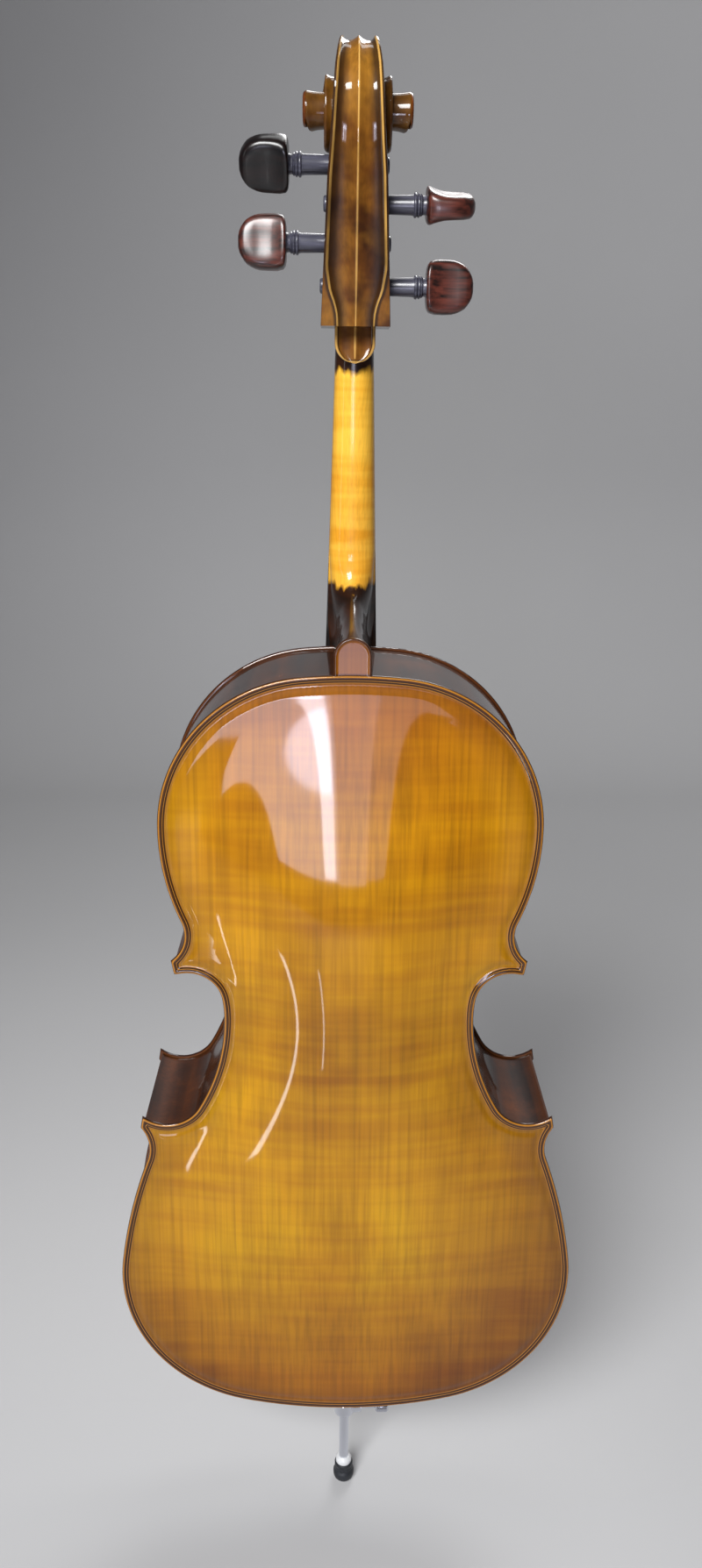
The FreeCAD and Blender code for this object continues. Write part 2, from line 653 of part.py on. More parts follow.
def tuner_lever(place):
    """A bell crank: the forked upper arm holds the string's ball, the lower arm meets the screw."""
    x = place * TUNER_SPREAD
    upper = tail_block(x - 2.2, x + 2.2, TUNER_PIVOT_AT - 3.6, TUNER_PIVOT_AT - 0.4,
                       TUNER_PIVOT_N - 2.4, TAIL_THICKNESS + 5)
    lower = tail_block(x - 2.2, x + 2.2, TUNER_PIVOT_AT - 3.6, TUNER_SCREW_AT + 5,
                       TUNER_PIVOT_N - 2.4, TUNER_PIVOT_N + 2.0)
    fork = tail_block(x - 1.3, x + 1.3, TUNER_PIVOT_AT - 8, TUNER_PIVOT_AT + 2, TAIL_THICKNESS + 0.5,
                      TAIL_THICKNESS + 8)
    return fuse([upper, lower]).cut(fork).cut(tuner_pin(place, 1.05))


def tuner_screw(place):
    x = place * TUNER_SPREAD
    return cylinder(1.5, on_tail(x, TUNER_SCREW_AT, TUNER_PIVOT_N + 2.0 + JOINT_GAP),
                    on_tail(x, TUNER_SCREW_AT, TAIL_THICKNESS + 6))


def tuner_knob(place):
    """A knurled-size round head on the screw."""
    x = place * TUNER_SPREAD
    base = crown(x, TAIL_THICKNESS, TAIL_RADIUS) + 1.2
    head = cylinder(4.5, on_tail(x, TUNER_SCREW_AT, base), on_tail(x, TUNER_SCREW_AT, base + 7))
    hole = cylinder(1.55, on_tail(x, TUNER_SCREW_AT, -20), on_tail(x, TUNER_SCREW_AT, TAIL_THICKNESS + 6.1))
    return head.cut(hole)


# --- pegs ---------------------------------------------------------------------------------------
def cheek_half(height):
    """Outer half width of the pegbox at a height."""
    for (x0, h0), (x1, h1) in zip(HEAD_HALF, HEAD_HALF[1:]):
        if h0 <= height <= h1:
            return x0 + (x1 - x0) * (height - h0) / (h1 - h0)
    return HEAD_HALF[0][0]


def peg_cone(height, depth, side, grow):
    """The tapered shaft through both cheeks."""
    outer = cheek_half(height)
    start = side * (outer + PEG_SHAFT)
    end = -side * (outer + PEG_END)
    length = abs(start - end)
    big = PEG_RADIUS_HEAD + PEG_TAPER * PEG_SHAFT + grow
    return cone(big, big - PEG_TAPER * length, at(start, depth, height), at(end, depth, height))


def peg_head(height, depth, side, turn):
    """Two turned rings, a waist and the thumb piece, which is a lens of two domes."""
    outer = cheek_half(height) + PEG_SHAFT
    profile = [(0, 7.6), (0.6, 9.4), (2.2, 9.4), (2.8, 8.2), (3.4, 9.0), (4.6, 9.0), (5.2, 7.0),
               (9.0, 6.2), (12.0, 7.5)]
    rings = turned(profile, at(side * outer, depth, height), V(side, 0, 0))
    ball = THUMB_RADIUS ** 2 / THUMB_THICKNESS + THUMB_THICKNESS / 4
    shift = ball - THUMB_THICKNESS / 2
    near = Part.makeSphere(ball, V(0, shift, 0))
    far = Part.makeSphere(ball, V(0, -shift, 0))
    thumb = near.common(far)
    thumb.rotate(V(0, 0, 0), V(1, 0, 0), turn)
    thumb.translate(at(side * (outer + THUMB_AT), depth, height))
    return [rings, thumb]


def pegs():
    made = {}
    for name, place, radius, height, depth, side, turn in STRINGS:
        made[name] = fuse([peg_cone(height, depth, side, 0.0)] + peg_head(height, depth, side, turn))
    return made


def windings():
    """The turns of string on each peg, as one sleeve on the peg's shaft."""
    made = {}
    for name, place, radius, height, depth, side, turn in STRINGS:
        middle = place * 5.2
        outer = winding_radius(height, depth) + 2 * radius
        sleeve = cylinder(outer, at(middle - 3.5, depth, height), at(middle + 3.5, depth, height))
        made[name] = sleeve.cut(peg_cone(height, depth, side, 0.0))
    return made


# --- endpin -------------------------------------------------------------------------------------
def endpin_plug():
    """Turned wooden plug, tapered into the bottom block, with a groove for the tailgut."""
    profile = [(-42, 12.5), (-38, 14.0), (-12, 16.0), (-6.6, 15.0), (-6.4, 10.6), (-3.1, 10.6),
               (-2.9, 15.0), (2.2, 15.0), (2.3, 12.0), (30, 10.8)]
    plug = turned(profile, at(0, 0, 0), V(0, 0, 1))
    return plug.cut(endpin_bore(-50, 40))


def endpin_bore(h0, h1):
    return cylinder(ENDPIN_RADIUS + ENDPIN_FIT, at(0, 0, h0), at(0, 0, h1))


def endpin_collar():
    """Plated collar that the thumbscrew clamps through, with its threaded boss."""
    profile = [(COLLAR_BOTTOM, 9.0), (COLLAR_BOTTOM + 1.5, 10.5), (-43.5, 10.5), (-42, 11.5)]
    ring = turned(profile, at(0, 0, 0), V(0, 0, 1))
    boss = cylinder(7.0, at(-18.5, 0, SCREW_HEIGHT), at(-6, 0, SCREW_HEIGHT))
    bore = cylinder(3.0 + 0.05, at(-30, 0, SCREW_HEIGHT), at(0, 0, SCREW_HEIGHT))
    return fuse([ring, boss]).cut(endpin_bore(-80, 0)).cut(bore)


def endpin_parts():
    tip_top = 30.0 - BODY_BOTTOM
    rod = cylinder(ENDPIN_RADIUS, at(0, 0, 12 - BODY_BOTTOM), at(0, 0, ENDPIN_TOP))
    ferrule = turned([(22, 8.2), (27, 8.2), (tip_top + BODY_BOTTOM, 6.4)], V(0, 0, 0), V(0, 0, 1))
    ferrule = ferrule.cut(rod)
    rubber = turned([(0, 6.5), (1.5, 9.0), (6, 11.0), (11, 11.0), (15, 9.2), (22, 9.6)],
                    V(0, 0, 0), V(0, 0, 1)).cut(rod)
    screw = cylinder(3.0, at(-46, 0, SCREW_HEIGHT), at(-ENDPIN_RADIUS - JOINT_GAP, 0, SCREW_HEIGHT))
    knob = turned([(0, 5.5), (1.5, 7.0), (12.5, 7.0), (14, 5.5)], at(-33, 0, SCREW_HEIGHT), V(-1, 0, 0))
    knob = knob.cut(cylinder(3.05, at(-46.1, 0, SCREW_HEIGHT), at(-20, 0, SCREW_HEIGHT)))
    return rod, ferrule, rubber, screw, knob


# --- the whole instrument -----------------------------------------------------------------------
def build():
    nodes = {}
    back = plate(1, ARCH_BACK)
    top = plate(-1, ARCH_TOP)
    for side in (-1, 1):
        for cutter in sound_hole(side):
            top = top.cut(cutter)
    neck_solid = neck()
    bottom_cut = box(-19, 19, -90, -RIB_Y, -2, 13)
    top = top.cut(neck_solid).cut(bottom_cut)
    line_back = purfling(1, back)
    line_top = purfling(-1, top)
    back = back.cut(line_back)
    top = top.cut(line_top)
    for name, x0, x1 in (("bass", -300, 0), ("treble", 0, 300)):
        half = box(x0, x1, -150, 150, -20, 900)
        nodes["back_" + name] = back.common(half)
        nodes["top_" + name] = top.common(half)
    nodes["purfling_back"] = line_back
    nodes["purfling_top"] = line_top

    plug = endpin_plug()
    plug_hole = cylinder(12.0, at(0, 0, -1), at(0, 0, 2.3))
    plug_hole = fuse([plug_hole, cone(12.0, 10.8, at(0, 0, 2.3), at(0, 0, 30))])
    for name, rib in ribs().items():
        nodes[name] = rib.cut(neck_solid).cut(plug_hole)
    top_block, bottom_block, corners = blocks()
    nodes["top_block"] = top_block.cut(neck_solid)
    nodes["bottom_block"] = bottom_block.cut(plug_hole)
    nodes["corner_blocks"] = Part.makeCompound(corners)
    filled = Part.makeCompound([top_block, bottom_block] + corners)
    nodes["linings_back"] = lining_ring(1, filled)
    nodes["linings_top"] = lining_ring(-1, filled)

    above_belly = above_arch(ARCH_TOP, -EDGE_Y + PLATE, -1)
    under_belly = box(-60, 20, -120, 0, 60, 700).cut(above_belly)
    nodes["bass_bar"] = bass_bar(under_belly)
    above_back = above_arch(ARCH_BACK, EDGE_Y - PLATE, 1)
    post = cylinder(5.5, at(28, -110, 346), at(28, 110, 346))
    nodes["sound_post"] = post.cut(above_belly).cut(above_back)

    belly = box(-70, 70, -120, -40, 300, 420).cut(above_arch(ARCH_TOP, -EDGE_Y, -1))
    nodes["neck_and_scroll"] = neck_solid
    nodes["fingerboard"] = fingerboard()
    nodes["nut"] = nut()
    nodes["bridge"] = bridge(belly)
    nodes["tailpiece"] = tailpiece()
    nodes["tailgut"] = tailgut()
    nodes["saddle"] = saddle().cut(nodes["tailgut"])
    pins = []
    for name, place, radius, height, depth, side, turn in STRINGS:
        nodes["tuner_lever_" + name] = tuner_lever(place)
        nodes["tuner_screw_" + name] = tuner_screw(place)
        nodes["tuner_knob_" + name] = tuner_knob(place)
        pins.append(tuner_pin(place, 1.0))
        nodes["neck_and_scroll"] = nodes["neck_and_scroll"].cut(peg_cone(height, depth, side, PEG_FIT))
    nodes["tuner_pins"] = Part.makeCompound(pins)
    for name, peg in pegs().items():
        nodes["peg_" + name] = peg
    for name, winding in windings().items():
        nodes["winding_" + name] = winding
    for name, string in strings().items():
        nodes["string_" + name] = string
        nodes["nut"] = nodes["nut"].cut(string)
        nodes["bridge"] = nodes["bridge"].cut(string)
    rod, ferrule, rubber, screw, knob = endpin_parts()
    nodes["endpin_plug"] = plug
    nodes["endpin_collar"] = endpin_collar()
    nodes["endpin_rod"] = rod
    nodes["endpin_ferrule"] = ferrule
    nodes["endpin_tip"] = rubber
    nodes["endpin_screw"] = screw
    nodes["endpin_screw_knob"] = knob
    return nodes


os.makedirs("parts", exist_ok=True)
for node, shape in build().items():
    solids = shape.Solids
    whole = solids[0] if len(solids) == 1 else Part.makeCompound(solids)
    print(node, len(solids), whole.isValid(), round(whole.Volume))
    whole.exportStep("parts/" + node + ".step")
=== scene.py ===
"""The look of a full-size cello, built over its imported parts. Shapes are worked out in millimetres."""

import math

import bmesh
import bpy
import numpy as np
from mathutils import Matrix, Vector, geometry


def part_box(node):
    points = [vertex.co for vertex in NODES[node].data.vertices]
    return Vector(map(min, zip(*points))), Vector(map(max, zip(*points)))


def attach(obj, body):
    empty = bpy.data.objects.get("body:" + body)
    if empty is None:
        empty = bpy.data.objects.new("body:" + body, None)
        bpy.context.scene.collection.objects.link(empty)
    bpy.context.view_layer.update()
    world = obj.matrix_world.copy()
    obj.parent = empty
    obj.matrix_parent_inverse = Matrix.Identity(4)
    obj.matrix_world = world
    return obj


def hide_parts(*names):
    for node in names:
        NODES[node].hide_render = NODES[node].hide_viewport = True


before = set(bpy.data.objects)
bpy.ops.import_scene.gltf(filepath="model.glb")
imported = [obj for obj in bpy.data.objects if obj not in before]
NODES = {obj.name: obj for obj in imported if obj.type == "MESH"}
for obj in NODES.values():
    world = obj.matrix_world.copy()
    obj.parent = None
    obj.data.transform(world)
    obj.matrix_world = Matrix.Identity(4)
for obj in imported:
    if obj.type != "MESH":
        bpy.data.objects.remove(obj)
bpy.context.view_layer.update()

BODY_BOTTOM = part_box("back_bass")[0].z * 1000

# --- the body's driving sizes, in millimetres ---------------------------------------------------
BODY_LENGTH = 758.0
EDGE_Y = 62.5
RIB_Y = 58.0
PLATE = 4.15
OVERHANG = 3.0
RIB = 1.6
UPPER_BOUT = [(460.0, -5.5), (136.5, -84.0), (216.0, -24.0), (31.3, 77.0)]
LOWER_BOUT = [(444.0, 13.0), (151.0, 84.7), (532.0, 12.4), (36.4, -56.8)]
WAIST_UP = [(104.0, -9.4), (31.5, -90.2)]
WAIST_DOWN = [(188.0, 30.1), (34.5, 100.5)]
WAIST = (113.2, 440.0)
LOWER_REACH, WAIST_REACH, UPPER_REACH = 205.0, 104.0, 157.0    # half widths that the arching spans
BACK_RISE, TOP_RISE = 22.5, 21.0
TOP_ARC = UPPER_BOUT[0][0]          # radius of the arc across the top of the body
BUTTON_RADIUS = 15.9
BUTTON_HEIGHT = 773.6
EDGE_ROUND = 2.25        # the plate's edge is a half round of this radius
SCOOP = 1.5              # depth of the channel inside the edge
NECK_TILT = math.radians(9.5)
NECK_ROOT_Y = -83.5
NUT_HEIGHT = 1036.0
NUT_Y = NECK_ROOT_Y + (NUT_HEIGHT - BODY_LENGTH) * math.tan(NECK_TILT)
VOLUTE_Y, VOLUTE_HEIGHT, VOLUTE_SQUASH = 20.0, 1192.0, 0.9


def at(x, y, h):
    """A point in metres from its place across, its depth, and its height on the body."""
    return Vector((x, y, h + BODY_BOTTOM)) / 1000


def on_neck(x, down, out):
    """A point on the neck: down from the nut, and outward from the fingerboard's glue."""
    return at(x, NUT_Y - down * math.sin(NECK_TILT) - out * math.cos(NECK_TILT),
              NUT_HEIGHT - down * math.cos(NECK_TILT) + out * math.sin(NECK_TILT))


# --- materials ----------------------------------------------------------------------------------
def linear(code):
    """An sRGB hex colour as linear values with alpha."""
    shades = [int(code[i:i + 2], 16) / 255 for i in (1, 3, 5)]
    return [c / 12.92 if c <= 0.04045 else ((c + 0.055) / 1.055) ** 2.4 for c in shades] + [1.0]


MIX, MATH, RAMP, RANGE = "ShaderNodeMix", "ShaderNodeMath", "ShaderNodeValToRGB", "ShaderNodeMapRange"
SPLIT, JOIN, BUMP, NOTE = ("ShaderNodeSeparateXYZ", "ShaderNodeCombineXYZ", "ShaderNodeBump",
                           "ShaderNodeAttribute")


def add(tree, kind, links=None, take=0, stops=(), **settings):
    """Adds one node with its settings and links, and returns one of its outputs if it has any.
    Links fill its inputs with sockets, values or hex colours; stops are a colour ramp's."""
    node = tree.nodes.new(kind)
    for name, value in settings.items():
        setattr(node, name, value)
    for key, value in (links or {}).items():
        if isinstance(value, bpy.types.NodeSocket):
            tree.links.new(value, node.inputs[key])
        else:
            node.inputs[key].default_value = linear(value) if isinstance(value, str) else value
    while stops and len(node.color_ramp.elements) < len(stops):
        node.color_ramp.elements.new(0.5)
    for number, (place, colour) in enumerate(stops):
        node.color_ramp.elements[number].position = place
        node.color_ramp.elements[number].color = linear(colour)
    return node.outputs[take] if len(node.outputs) else node


def start(name, **surface):
    """A material with its surface shader, whose uniform values are set on its own sockets."""
    material = bpy.data.materials.new(name)
    material.use_nodes = True
    tree = material.node_tree
    shader = tree.nodes["Principled BSDF"]
    for key, value in surface.items():
        socket = shader.inputs[key.replace("_", " ")]
        socket.default_value = linear(value) if isinstance(value, str) else value
    where = add(tree, "ShaderNodeTexCoord", take="Object")
    return material, tree, shader.inputs, where


def pattern(tree, where, size, detail=3.0, roughness=0.5, turn=0.0):
    """Noise whose spots measure about size millimetres along x, y and z."""
    scaled = add(tree, "ShaderNodeMapping", {"Vector": where, "Rotation": (0.0, turn, 0.0),
                                             "Scale": [500 / s for s in size]})
    return add(tree, "ShaderNodeTexNoise", {"Vector": scaled, "Scale": 1.0, "Detail": detail,
                                            "Roughness": roughness})


def band(tree, value, low, high, soft, most=1.0):
    """Rises to most between two values of a measure and is 0 outside, with soft edges."""
    rise = add(tree, RANGE, {"Value": value, "From Min": low - soft, "From Max": low + soft,
                             "To Max": most})
    fall = add(tree, RANGE, {"Value": value, "From Min": high + soft, "From Max": high - soft})
    return add(tree, MATH, {0: rise, 1: fall}, operation="MULTIPLY")


def varnished_plate(name, dark, mid, light, flame, grain, bead, groove):
    """A carved plate under amber spirit varnish: deep gloss, wood figure, and an inlaid line."""
    material, tree, inputs, where = start(name, Roughness=0.5, IOR=1.5, Specular_IOR_Level=0.1,
                                          Coat_Weight=0.8, Coat_Roughness=0.045, Coat_IOR=1.5)
    parts = add(tree, SPLIT, {"Vector": where}).node.outputs
    fold = add(tree, JOIN, {"X": add(tree, MATH, {0: parts["X"]}, operation="ABSOLUTE"),
                            "Y": parts["Y"], "Z": parts["Z"]})
    cloud = pattern(tree, where, (120, 120, 190), 4.0, 0.55)
    wood = add(tree, RAMP, {"Fac": cloud}, stops=[(0.3, dark), (0.5, mid), (0.7, light)])
    curl = pattern(tree, fold, (70, 60, 7.0), 2.0, 0.6, 0.13)
    curled = add(tree, RAMP, {"Fac": curl}, stops=[(0.34, dark), (0.62, light)])
    wood = add(tree, MIX, {0: flame, 6: wood, 7: curled}, 2, data_type="RGBA")
    lines = pattern(tree, where, (1.8, 3.0, 110), 2.0, 0.6)
    dim = add(tree, RAMP, {"Fac": lines}, stops=[(0.3, "#a0a0a0"), (0.6, "#ffffff")])
    wood = add(tree, MIX, {0: grain, 6: wood, 7: dim}, 2, data_type="RGBA", blend_type="MULTIPLY")
    # The colour is made darker and browner toward both ends of the body. The bass side is darker too: partly
    # browner varnish, partly painted shade for light that falls from the treble side.
    rise = add(tree, RANGE, {"Value": parts["Z"], "From Min": BODY_BOTTOM / 1000,
                             "From Max": (BODY_BOTTOM + BODY_LENGTH) / 1000})
    darker_toward_ends = add(tree, RAMP, {"Fac": rise}, stops=[(0.02, "#c8aca0"), (0.12, "#d8cac0"), (0.3, "#f4f4f4"),
                                                  (0.62, "#ffffff"), (0.82, "#faf0e0"), (0.97, "#d8b8a4")])
    wood = add(tree, MIX, {0: 1.0, 6: wood, 7: darker_toward_ends}, 2, data_type="RGBA", blend_type="MULTIPLY")
    # The bass side: partly browner varnish, partly painted shade.
    bass_side_varnish_and_shade = add(tree, RANGE, {"Value": parts["X"], "From Min": -0.03, "From Max": -0.2, "To Max": 0.85})
    wood = add(tree, MIX, {0: bass_side_varnish_and_shade, 6: wood, 7: "#dccfb8"}, 2, data_type="RGBA", blend_type="MULTIPLY")
    edge = add(tree, NOTE, attribute_name="from_edge", take="Fac")
    rim = add(tree, NOTE, attribute_name="from_rim", take="Fac")
    near = add(tree, RANGE, {"Value": edge, "From Min": 4.0, "From Max": 34.0, "To Min": 0.34,
                             "To Max": 0.0})
    # Toward the edge the colour turns to the groove colour, strongest on the rounded edge, the button's rim
    # and the channel: partly darker varnish there, partly painted shade and reflection of the scooped
    # channel. A pale line on the rounded edge is worn varnish and a painted highlight. Then come the
    # purfling's two black strips with a pale core, and a fainter pale line inside it.
    for share, colour in ((near, groove),
                          (band(tree, edge, -1.0, 6.9, 0.9, 0.9), groove),
                          (band(tree, rim, -1.0, 1.9, 0.5, 0.85), groove),
                          (band(tree, edge, 0.9, 1.9, 0.45, 0.85), bead),
                          (band(tree, edge, 4.35, 4.8, 0.2, 0.8), bead),
                          (band(tree, edge, 3.7, 4.2, 0.15, 0.9), "#120903"),
                          (band(tree, edge, 4.95, 5.6, 0.15, 0.9), "#120903"),
                          (band(tree, edge, 6.4, 7.0, 0.3, 0.6), bead)):
        wood = add(tree, MIX, {0: share, 6: wood, 7: colour}, 2, data_type="RGBA")
    tree.links.new(wood, inputs["Base Color"])
    ripple = pattern(tree, where, (5.0, 5.0, 14.0), 2.0)
    tree.links.new(add(tree, BUMP, {"Height": ripple, "Strength": 0.1, "Distance": 0.00025}),
                   inputs["Normal"])
    return material


# Carved maple back under golden amber varnish: fine upright grain, faint flame across, wet gloss.
BACK_MAPLE = varnished_plate("back_maple_amber_varnish", "#7c4800", "#b47c00", "#cea000", 0.16, 0.4,
                             "#b87a24", "#301608")
# Spruce top under the same varnish: straight dark year lines about 1.6 mm apart. Its edge and channel colours
# are near black: partly dark varnish, partly painted shade for the edge's shadowed underside.
TOP_SPRUCE = varnished_plate("top_spruce_amber_varnish", "#8a4e08", "#b87410", "#d0962a", 0.03, 0.62,
                             "#5c300e", "#2a1004")


def varnished_carving(name, dark, mid, light, flame_size, flame, gloss=0.1, worn=None, grain=0.3):
    """Maple carved in the round under varnish, with flame across it. Given a crest colour, it is pale on its
    crests and dark in its hollows: partly worn and pooled varnish, partly painted highlight and painted
    shade.
    """
    material, tree, inputs, where = start(name, Roughness=0.5, IOR=1.5, Specular_IOR_Level=0.1,
                                          Coat_Weight=0.8, Coat_Roughness=gloss, Coat_IOR=1.5)
    cloud = pattern(tree, where, (26, 26, 60), 4.0, 0.6)
    wood = add(tree, RAMP, {"Fac": cloud}, stops=[(0.36, dark), (0.5, mid), (0.66, light)])
    curl = pattern(tree, where, flame_size, 2.0, 0.6, 0.1)
    curled = add(tree, RAMP, {"Fac": curl}, stops=[(0.36, dark), (0.62, light)])
    wood = add(tree, MIX, {0: flame, 6: wood, 7: curled}, 2, data_type="RGBA")
    lines = pattern(tree, where, (1.2, 1.2, 70), 2.0, 0.6)
    dim = add(tree, RAMP, {"Fac": lines}, stops=[(0.3, "#959595"), (0.6, "#ffffff")])
    wood = add(tree, MIX, {0: grain, 6: wood, 7: dim}, 2, data_type="RGBA", blend_type="MULTIPLY")
    if worn:
        # Pale along the carved crests: worn varnish and a painted highlight. Dark beside them, on the flutes'
        # outer walls, the chamfers and the cheeks: pooled varnish and painted shade.
        across = add(tree, NOTE, attribute_name="across", take="Fac")
        crest_strength = add(tree, RANGE, {"Value": cloud, "From Min": 0.35, "From Max": 0.6, "To Min": 0.25,
                                 "To Max": 0.9})
        crests = add(tree, MATH, {0: band(tree, across, 0.93, 1.03, 0.02),
                                  1: band(tree, across, -0.03, 0.03, 0.02)}, operation="MAXIMUM")
        crest_wear_and_highlight = add(tree, MATH, {0: crests, 1: crest_strength}, operation="MULTIPLY")
        for share, colour in ((band(tree, across, 0.58, 1.6, 0.16, 0.8), "#160802"), (crest_wear_and_highlight, worn)):
            wood = add(tree, MIX, {0: share, 6: wood, 7: colour}, 2, data_type="RGBA")
    tree.links.new(wood, inputs["Base Color"])
    relief = pattern(tree, where, (3, 3, 9), 2.0)
    tree.links.new(add(tree, BUMP, {"Height": relief, "Strength": 0.12, "Distance": 0.0002}),
                   inputs["Normal"])
    return material


# Maple ribs under thick red-brown varnish: nearly black in the shade, amber where light gets in.
RIB_MAPLE = varnished_carving("rib_maple_dark_varnish", "#180802", "#301404", "#5a2c08", (9, 200, 300),
                              0.45, 0.08)
# Pegbox and scroll: walnut brown varnish, pale along its carved crests (worn varnish and painted highlight)
# and dark beside them (pooled varnish and painted shade).
SCROLL_MAPLE = varnished_carving("scroll_maple_brown_varnish", "#341804", "#6a3c0e", "#9c6a20",
                                 (14, 14, 9), 0.3, 0.06, "#d8a858")
# The scroll's eyes and turned sides: the same varnish, thicker and redder in the deep cuts.
EYE_MAPLE = varnished_carving("scroll_eye_red_varnish", "#240c02", "#4e2006", "#804412", (12, 12, 7), 0.3,
                              0.06)


def neck_wood():
    """Bare oiled maple, golden and silky, stained dark at both ends where the varnish begins."""
    material, tree, inputs, where = start("neck_maple_oiled", Roughness=0.45, IOR=1.5, Specular_IOR_Level=0.2,
                                          Coat_Weight=0.6, Coat_Roughness=0.08, Coat_IOR=1.5)
    cloud = pattern(tree, where, (30, 30, 120), 3.0)
    wood = add(tree, RAMP, {"Fac": cloud}, stops=[(0.3, "#d88a14"), (0.7, "#f2ba38")])
    curl = pattern(tree, where, (60, 60, 6.5), 2.0, 0.6, 0.16)
    curled = add(tree, RAMP, {"Fac": curl}, stops=[(0.36, "#cc7e12"), (0.62, "#fccc54")])
    wood = add(tree, MIX, {0: 0.3, 6: wood, 7: curled}, 2, data_type="RGBA")
    lines = pattern(tree, where, (0.9, 0.9, 60), 2.0)
    dim = add(tree, RAMP, {"Fac": lines}, stops=[(0.3, "#959595"), (0.6, "#ffffff")])
    wood = add(tree, MIX, {0: 0.22, 6: wood, 7: dim}, 2, data_type="RGBA", blend_type="MULTIPLY")
    height = add(tree, SPLIT, {"Vector": where}, "Z")
    ragged = pattern(tree, where, (5, 5, 16), 3.0)
    shifted = add(tree, MATH, {0: ragged, 1: 0.026, 2: height}, operation="MULTIPLY_ADD")
    bare = band(tree, shifted, (BODY_BOTTOM + 829) / 1000, (BODY_BOTTOM + 1016) / 1000, 0.003)
    stain = add(tree, RAMP, {"Fac": curl}, stops=[(0.3, "#140802"), (0.7, "#3c1c08")])
    wood = add(tree, MIX, {0: bare, 6: stain, 7: wood}, 2, data_type="RGBA")
    tree.links.new(wood, inputs["Base Color"])
    tree.links.new(add(tree, BUMP, {"Height": lines, "Strength": 0.08, "Distance": 0.0001}),
                   inputs["Normal"])
    return material


NECK_MAPLE = neck_wood()


def close_wood(name, dark, light, size, gloss, coat=0.0, figure=(0.3, 0.7)):
    """A dense turned or planed wood with fine streaks, as fine as the given size."""
    material, tree, inputs, where = start(name, Roughness=gloss, IOR=1.5, Coat_Weight=coat,
                                          Coat_Roughness=0.16)
    streaks = pattern(tree, where, size, 4.0, 0.6)
    tree.links.new(add(tree, RAMP, {"Fac": streaks}, stops=[(figure[0], dark), (figure[1], light)]),
                   inputs["Base Color"])
    tree.links.new(add(tree, BUMP, {"Height": streaks, "Strength": 0.1, "Distance": 0.0001}),
                   inputs["Normal"])
    return material


# Ebony: planed and oiled, near black with the faintest brown streaks and a satin gleam.
EBONY = close_wood("ebony_oiled", "#0b0a0b", "#1f1c1c", (1.5, 1.5, 40), 0.34, 0.3)
# Rosewood peg heads: polished by hand, dark plum to red brown, streaked along the peg.
ROSEWOOD = close_wood("rosewood_polished", "#140a08", "#5a2a20", (26, 2.2, 2.2), 0.36, 0.4, (0.36, 0.66))
# Peg D's head: a darker copy of the rosewood, painted shade for a face turned away from the light.
ROSEWOOD_PAINTED_SHADE = close_wood("rosewood_painted_shade", "#050405", "#180c0b", (26, 2.2, 2.2), 0.3, 0.15, (0.36, 0.66))
# Peg shafts: the same wood stained and waxed grey black, with a dull sheen.
PEG_STAIN = close_wood("peg_shaft_stained", "#26262e", "#50505e", (20, 1.2, 1.2), 0.36, 0.4, (0.3, 0.7))
# Bridge maple: unvarnished, pale, speckled with short rays.
BRIDGE_MAPLE = close_wood("bridge_maple_bare", "#b98a52", "#dcb47c", (3, 1.0, 0.8), 0.5)
# Bare spruce inside the body: pale straw with straight year lines.
SPRUCE = close_wood("spruce_bare", "#b98e55", "#e0bd85", (1.6, 3, 90), 0.65)


def metal(name, colour, roughness, scratch):
    """Plated or drawn metal with faint rubbing marks in its polish."""
    material, tree, inputs, where = start(name, Base_Color=colour, Metallic=1.0)
    marks = pattern(tree, where, scratch, 3.0, 0.7)
    tree.links.new(add(tree, RANGE, {"Value": marks, "To Min": roughness * 0.6, "To Max": roughness * 1.5}),
                   inputs["Roughness"])
    tree.links.new(add(tree, BUMP, {"Height": marks, "Strength": 0.06, "Distance": 0.00005}),
                   inputs["Normal"])
    return material


# Chrome plate on the endpin's rod and collar: mirror bright, faintly rubbed along its length.
CHROME = metal("bright_chrome_plate", "#d6d8e0", 0.14, (0.6, 0.6, 14))
# Flat-wound strings: ground steel ribbon, duller than chrome.
STRING_STEEL = metal("flat_wound_steel", "#a8a8ac", 0.34, (0.5, 0.5, 0.5))
# Steel pins and screws: plain turned steel.
PIN_STEEL = metal("turned_steel", "#9a9a9c", 0.3, (0.5, 0.5, 0.5))


def moulded(name, colour, roughness, grain, depth):
    """A moulded plastic, rubber or cord with the fine grain of its surface, depth in millimetres."""
    material, tree, inputs, where = start(name, Roughness=roughness, IOR=1.49)
    worn = pattern(tree, where, (9, 9, 9), 3.0)
    patches = add(tree, RAMP, {"Fac": worn}, stops=[(0.4, "#000000"), (0.7, "#ffffff")])
    tree.links.new(add(tree, MIX, {0: 0.25, 6: colour, 7: patches}, 2, data_type="RGBA",
                       blend_type="OVERLAY"), inputs["Base Color"])
    speckle = pattern(tree, where, (grain, grain, grain), 2.0)
    tree.links.new(add(tree, BUMP, {"Height": speckle, "Strength": 0.2, "Distance": depth / 1000}),
                   inputs["Normal"])
    return material


# Rubber tip: soft black rubber, greyed where it rubs the floor.
RUBBER = moulded("tip_rubber", "#1c1f24", 0.5, 0.7, 0.15)
# Composite tailpiece: glossy black with a faint moulded grain.
PLASTIC = moulded("black_composite", "#0e0e10", 0.26, 0.9, 0.04)
# White nylon liner between the rod and its rubber tip.
NYLON = moulded("white_nylon", "#d9dadb", 0.4, 0.8, 0.05)
# Braided tailgut: dark synthetic cord with a satin weave too fine to see singly.
GUT = moulded("tailgut_cord", "#26262a", 0.55, 0.6, 0.1)
# Silk wrapping on the strings' ends at the pegs: dyed a different colour for each string.
SILKS = {name: moulded("string_silk_" + name, colour, 0.7, 0.5, 0.1)
         for name, colour in (("c", "#4c2338"), ("g", "#2c4a3a"), ("d", "#2b3c66"), ("a", "#6b2424"))}


